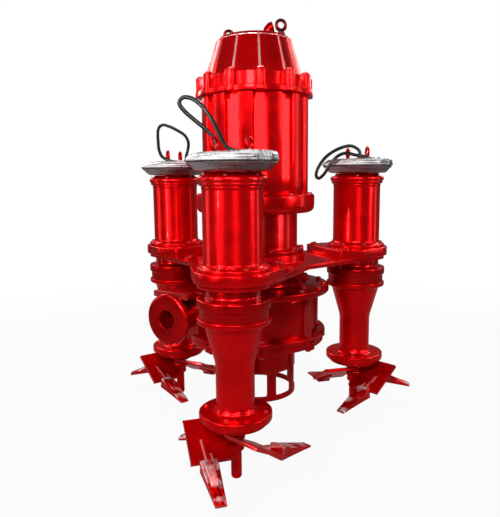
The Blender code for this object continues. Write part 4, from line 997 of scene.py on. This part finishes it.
def housing():
    shape = Shape().ring([
        (0.147, 0.9027), (0.173, 0.9027, 0.002), (0.173, 0.762, 0.008), (0.181, 0.757, 0.004),
        (0.2, 0.756, 0.003), (0.2, 0.7393, 0.002), (0.147, 0.7393)], 0.003)
    bolt_ring(shape, 10, radians(-72), 0.1905, 0.7565, 0.0085, 0.008)
    weld(shape, 0.1745, 0.7595, 0.0045, 9.0)
    pump_piece(shape, "oil_housing", "bearing_housing", SHADED_RED)


# Wet end

DISCHARGE = radians(237)
OUTWAY = polar(1, DISCHARGE)
ASIDE = Vector((sin(DISCHARGE), -cos(DISCHARGE), 0))
OFFSET = 0.176
DISCHARGE_HEIGHT = 0.5
SUCTION_PHASE = radians(4)


def discharge_point(along, aside, height=0.0):
    return OUTWAY * along + ASIDE * aside + UP * height


def from_discharge(angle):
    """How far the angle is from the discharge's heading."""
    return abs((angle - DISCHARGE + pi) % (2 * pi) - pi)


def volute_outline():
    """The spiral: an arc that grows from the start radius to the end one, and the discharge's stub."""
    half, start, end, reach, steps = 0.062, 0.252, 0.272, 0.252, 90
    side_angle = DISCHARGE - pi / 2
    first = side_angle + acos((OFFSET - half) / start)
    last = side_angle + acos((OFFSET + half) / end) + 2 * pi
    outline = [tuple(polar(start + (end - start) * i / steps, first + (last - first) * i / steps)[:2])
               for i in range(steps + 1)]
    return outline + [tuple(discharge_point(reach, OFFSET + side * half)[:2]) for side in (1, -1)]


def volute():
    shape = Shape().add(prism(volute_outline(), 0.404, 0.5797, 0.016, 5))
    shape.ring([
        (0.215, 0.4003), (0.29, 0.4003, 0.003), (0.29, 0.4183, 0.004), (0.262, 0.422),
        (0.215, 0.422)], 0.003)
    along = aimed(discharge_point(0, OFFSET, DISCHARGE_HEIGHT), OUTWAY)
    shape.turn([
        (0.038, 0.371), (0.09, 0.371, 0.004), (0.1, 0.367, 0.004), (0.1, 0.349, 0.004),
        (0.066, 0.346, 0.008), (0.058, 0.33, 0.012), (0.062, 0.18, 0),
        (0.038, 0.18)], 0.003, 72, matrix=along, closed=True, fine=4)
    for angle in spread(4, radians(45)):
        bolt(shape, along @ polar(0.08, angle, 0.3505), 0.0085, 0.008, axis=-OUTWAY)
    web = soft([(0.24, -0.008, 0), (0.2835, -0.008), (0.2835, 0.008), (0.24, 0.008, 0)], 0.003, True)
    for angle in spread(6, radians(-41)):
        if from_discharge(angle) > radians(60):
            shape.add(prism(turned(web, angle), 0.41, 0.5755, 0.001, 1))
    bolt_ring(shape, 8, SUCTION_PHASE, 0.27, 0.4185, 0.0105, 0.01)
    pump_piece(shape, "spiral_casing", "volute_casing", SHADED_RED)


def cover_plate():
    """The plate over the spiral, its bolts, and the bearing bracket with its ribs."""
    shape = Shape()
    side_angle = DISCHARGE - pi / 2
    outer, inner, radius = OFFSET + 0.086, OFFSET - 0.086, 0.305
    first, last = side_angle + acos(inner / radius), side_angle + acos(outer / radius) + 2 * pi
    outline = arc((0, 0), radius, first, last, 96)
    outline += [tuple(discharge_point(0.345, aside)[:2]) for aside in (outer, inner)]
    shape.add(prism(outline, 0.58, 0.605, 0.0035, 3))
    shape.turn([
        (0, 0.6847), (0.19, 0.6847, 0.002), (0.19, 0.669, 0.003), (0.172, 0.665, 0.006),
        (0.172, 0.612, 0.008), (0.182, 0.603), (0, 0.603)], 0.003)
    for angle in spread(6, radians(21)):
        shape.add(rib(angle, (0.165, 0.25, 0.602, 0.009), (0.165, 0.188, 0.6765, 0.009), 0.003))
    for angle in spread(16, radians(-52)):
        if from_discharge(angle + radians(42)) > radians(30):
            bolt(shape, polar(0.284, angle, 0.605), 0.0105, 0.01, turn=angle)
    pump_piece(shape, "cover_casting", "back_plate", SHADED_RED)


def intake_cover():
    shape = Shape().ring([
        (0.078, 0.3997), (0.283, 0.3997, 0.002), (0.283, 0.372, 0.004), (0.215, 0.3715, 0.006),
        (0.182, 0.3533, 0.002), (0.078, 0.3533)], 0.003)
    for angle in spread(8, SUCTION_PHASE):
        place = polar(0.27, angle)
        shape.turn([
            (0, 0.3992), (0.026, 0.3992, 0.002), (0.026, 0.368, 0.004),
            (0, 0.368)], 0.003, 40, Matrix.Translation(place))
        bolt(shape, place + UP * 0.368, 0.0115, 0.01, axis=-UP, turn=angle)
    pump_piece(shape, "intake_cover", "suction_cover", SHADED_RED)


def strainer():
    """A collar, eight upright bars with rounded corners to the windows, and a foot ring."""
    outer, inner = 0.164, 0.154
    low, high, corner = 0.16, 0.257, 0.007
    bar_half = asin(0.0195 / outer)
    rows, across = 12, 6
    shape = Shape().ring([
        (inner, 0.353), (0.182, 0.353, 0.002), (0.182, 0.341, 0.003), (outer, 0.339, 0.004),
        (outer, high, 0), (inner, high)], 0.002)
    shape.ring([(inner, low), (outer, low), (outer, 0.139), (inner, 0.139)], 0.0022)
    for angle in spread(8, radians(-68)):
        rings = []
        for k in range(rows + 1):
            z = low - 0.006 + (high - low + 0.012) * k / rows
            near = min(z - low, high - z)
            grow = corner * max(0.0, 1 - near / corner) ** 2 if near > 0 else corner
            half = bar_half + grow / outer
            ring = []
            for radius, way in ((outer, 1), (inner, -1)):
                for j in range(across + 1):
                    trim = 0.0004 if j in (0, across) else 0.0
                    ring.append(polar(radius - way * trim, angle + half * (2 * j / across - 1) * way, z))
            rings.append(ring)
        shape.add(stack(rings))
    pump_piece(shape, "intake_strainer", "suction_strainer", SHADED_RED)


# Light and floor

def lamp(name, place, facing, size, power, highlight_only):
    """An area lamp. One that only makes highlights leaves the colours at their plain level."""
    data = bpy.data.lights.new(name, "AREA")
    data.shape = "RECTANGLE"
    data.size, data.size_y = size
    data.energy = power
    made = linked(name, data)
    made.visible_diffuse = not highlight_only
    way = Vector((0, 0, facing)) - Vector(place)
    made.matrix_world = Matrix.Translation(place) @ way.to_track_quat("-Z", "Y").to_matrix().to_4x4()


WORLD_LIGHT = 0.05
# Each lamp: place, height over the origin that it faces, size, power, whether for highlights only
LAMPS = {
    "key": ((-0.5, -2.9, 2.5), 1.1, (0.8, 0.8), 68, False),
    "fill_left": ((-2.2, -0.9, 2.2), 1.1, (0.5, 1.2), 9, False),
    "fill_right": ((2.3, -1.5, 2.0), 1.0, (0.4, 1.2), 9, False),
    "back_right": ((1.8, 2.2, 2.4), 0.9, (0.8, 1.4), 36, False),
    "back_left": ((-1.7, 2.3, 2.4), 0.9, (0.8, 1.4), 36, False),
    "soft_left": ((-1.9, -2.1, 1.7), 1.1, (1.0, 1.7), 46, True),
    "soft_front": ((0.5, -2.9, 1.7), 1.1, (0.8, 1.5), 30, True),
    "soft_right": ((2.9, -0.8, 1.7), 1.1, (0.5, 1.7), 24, True),
    "side_left": ((-2.7, 0.3, 1.5), 0.9, (0.8, 2.0), 12, True),
    "side_right": ((2.9, 0.5, 1.5), 0.9, (0.5, 2.0), 8, True),
    "line_left": ((-2.05, -1.85, 1.7), 1.1, (0.1, 1.8), 50, True),
    "line_front": ((0.2, -3.0, 1.8), 1.1, (0.04, 1.5), 9, True),
    "line_right": ((2.8, -1.1, 1.7), 1.1, (0.08, 1.8), 22, True),
}


def studio():
    world = bpy.data.worlds.new("studio")
    scene.world = world
    world.use_nodes = True
    nodes = Nodes(world.node_tree)
    back = nodes.tree.nodes["Background"].inputs
    seen, shiny = nodes.backdrop()
    nodes.feed(back["Color"], WHITE)
    nodes.feed(back["Strength"], nodes.math("MAXIMUM", nodes.math("MAXIMUM", seen, shiny), WORLD_LIGHT))
    for name, settings in LAMPS.items():
        lamp(name, *settings)
    reach, steps = 4.0, 64
    mesh = bpy.data.meshes.new("floor")
    mesh.from_pydata([polar(reach, a) for a in spread(steps)], [], [list(range(steps))])
    mesh.materials.append(pale_floor("pale_floor", reach))
    floor = linked("floor", mesh)
    floor.location.z = -0.0005


# Assembly

make_camera()
for unit in [Unit(index, name) for index, name in enumerate(UNITS)]:
    cord, exit_point = cable(unit)
    film = film_wrap(unit)
    for build in (motor_shell, motor_cap, reducer, shaft_tube, foot_cover, end_shaft, cutter):
        build(unit)
for build in (spider, fluted_casing, lid, elbow, shield, housing, volute, cover_plate, intake_cover,
              strainer):
    build()

INNER = {"main_shaft": STEEL, "impeller": IRON, "main_stator": COPPER, "mechanical_seal": CARBON}
for node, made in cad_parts.items():
    made.data.materials.clear()
    made.data.materials.append(INNER.get(node, STEEL if "bearing" in node or "rotor" in node else RED))

studio()
scene.view_settings.view_transform = "Standard"
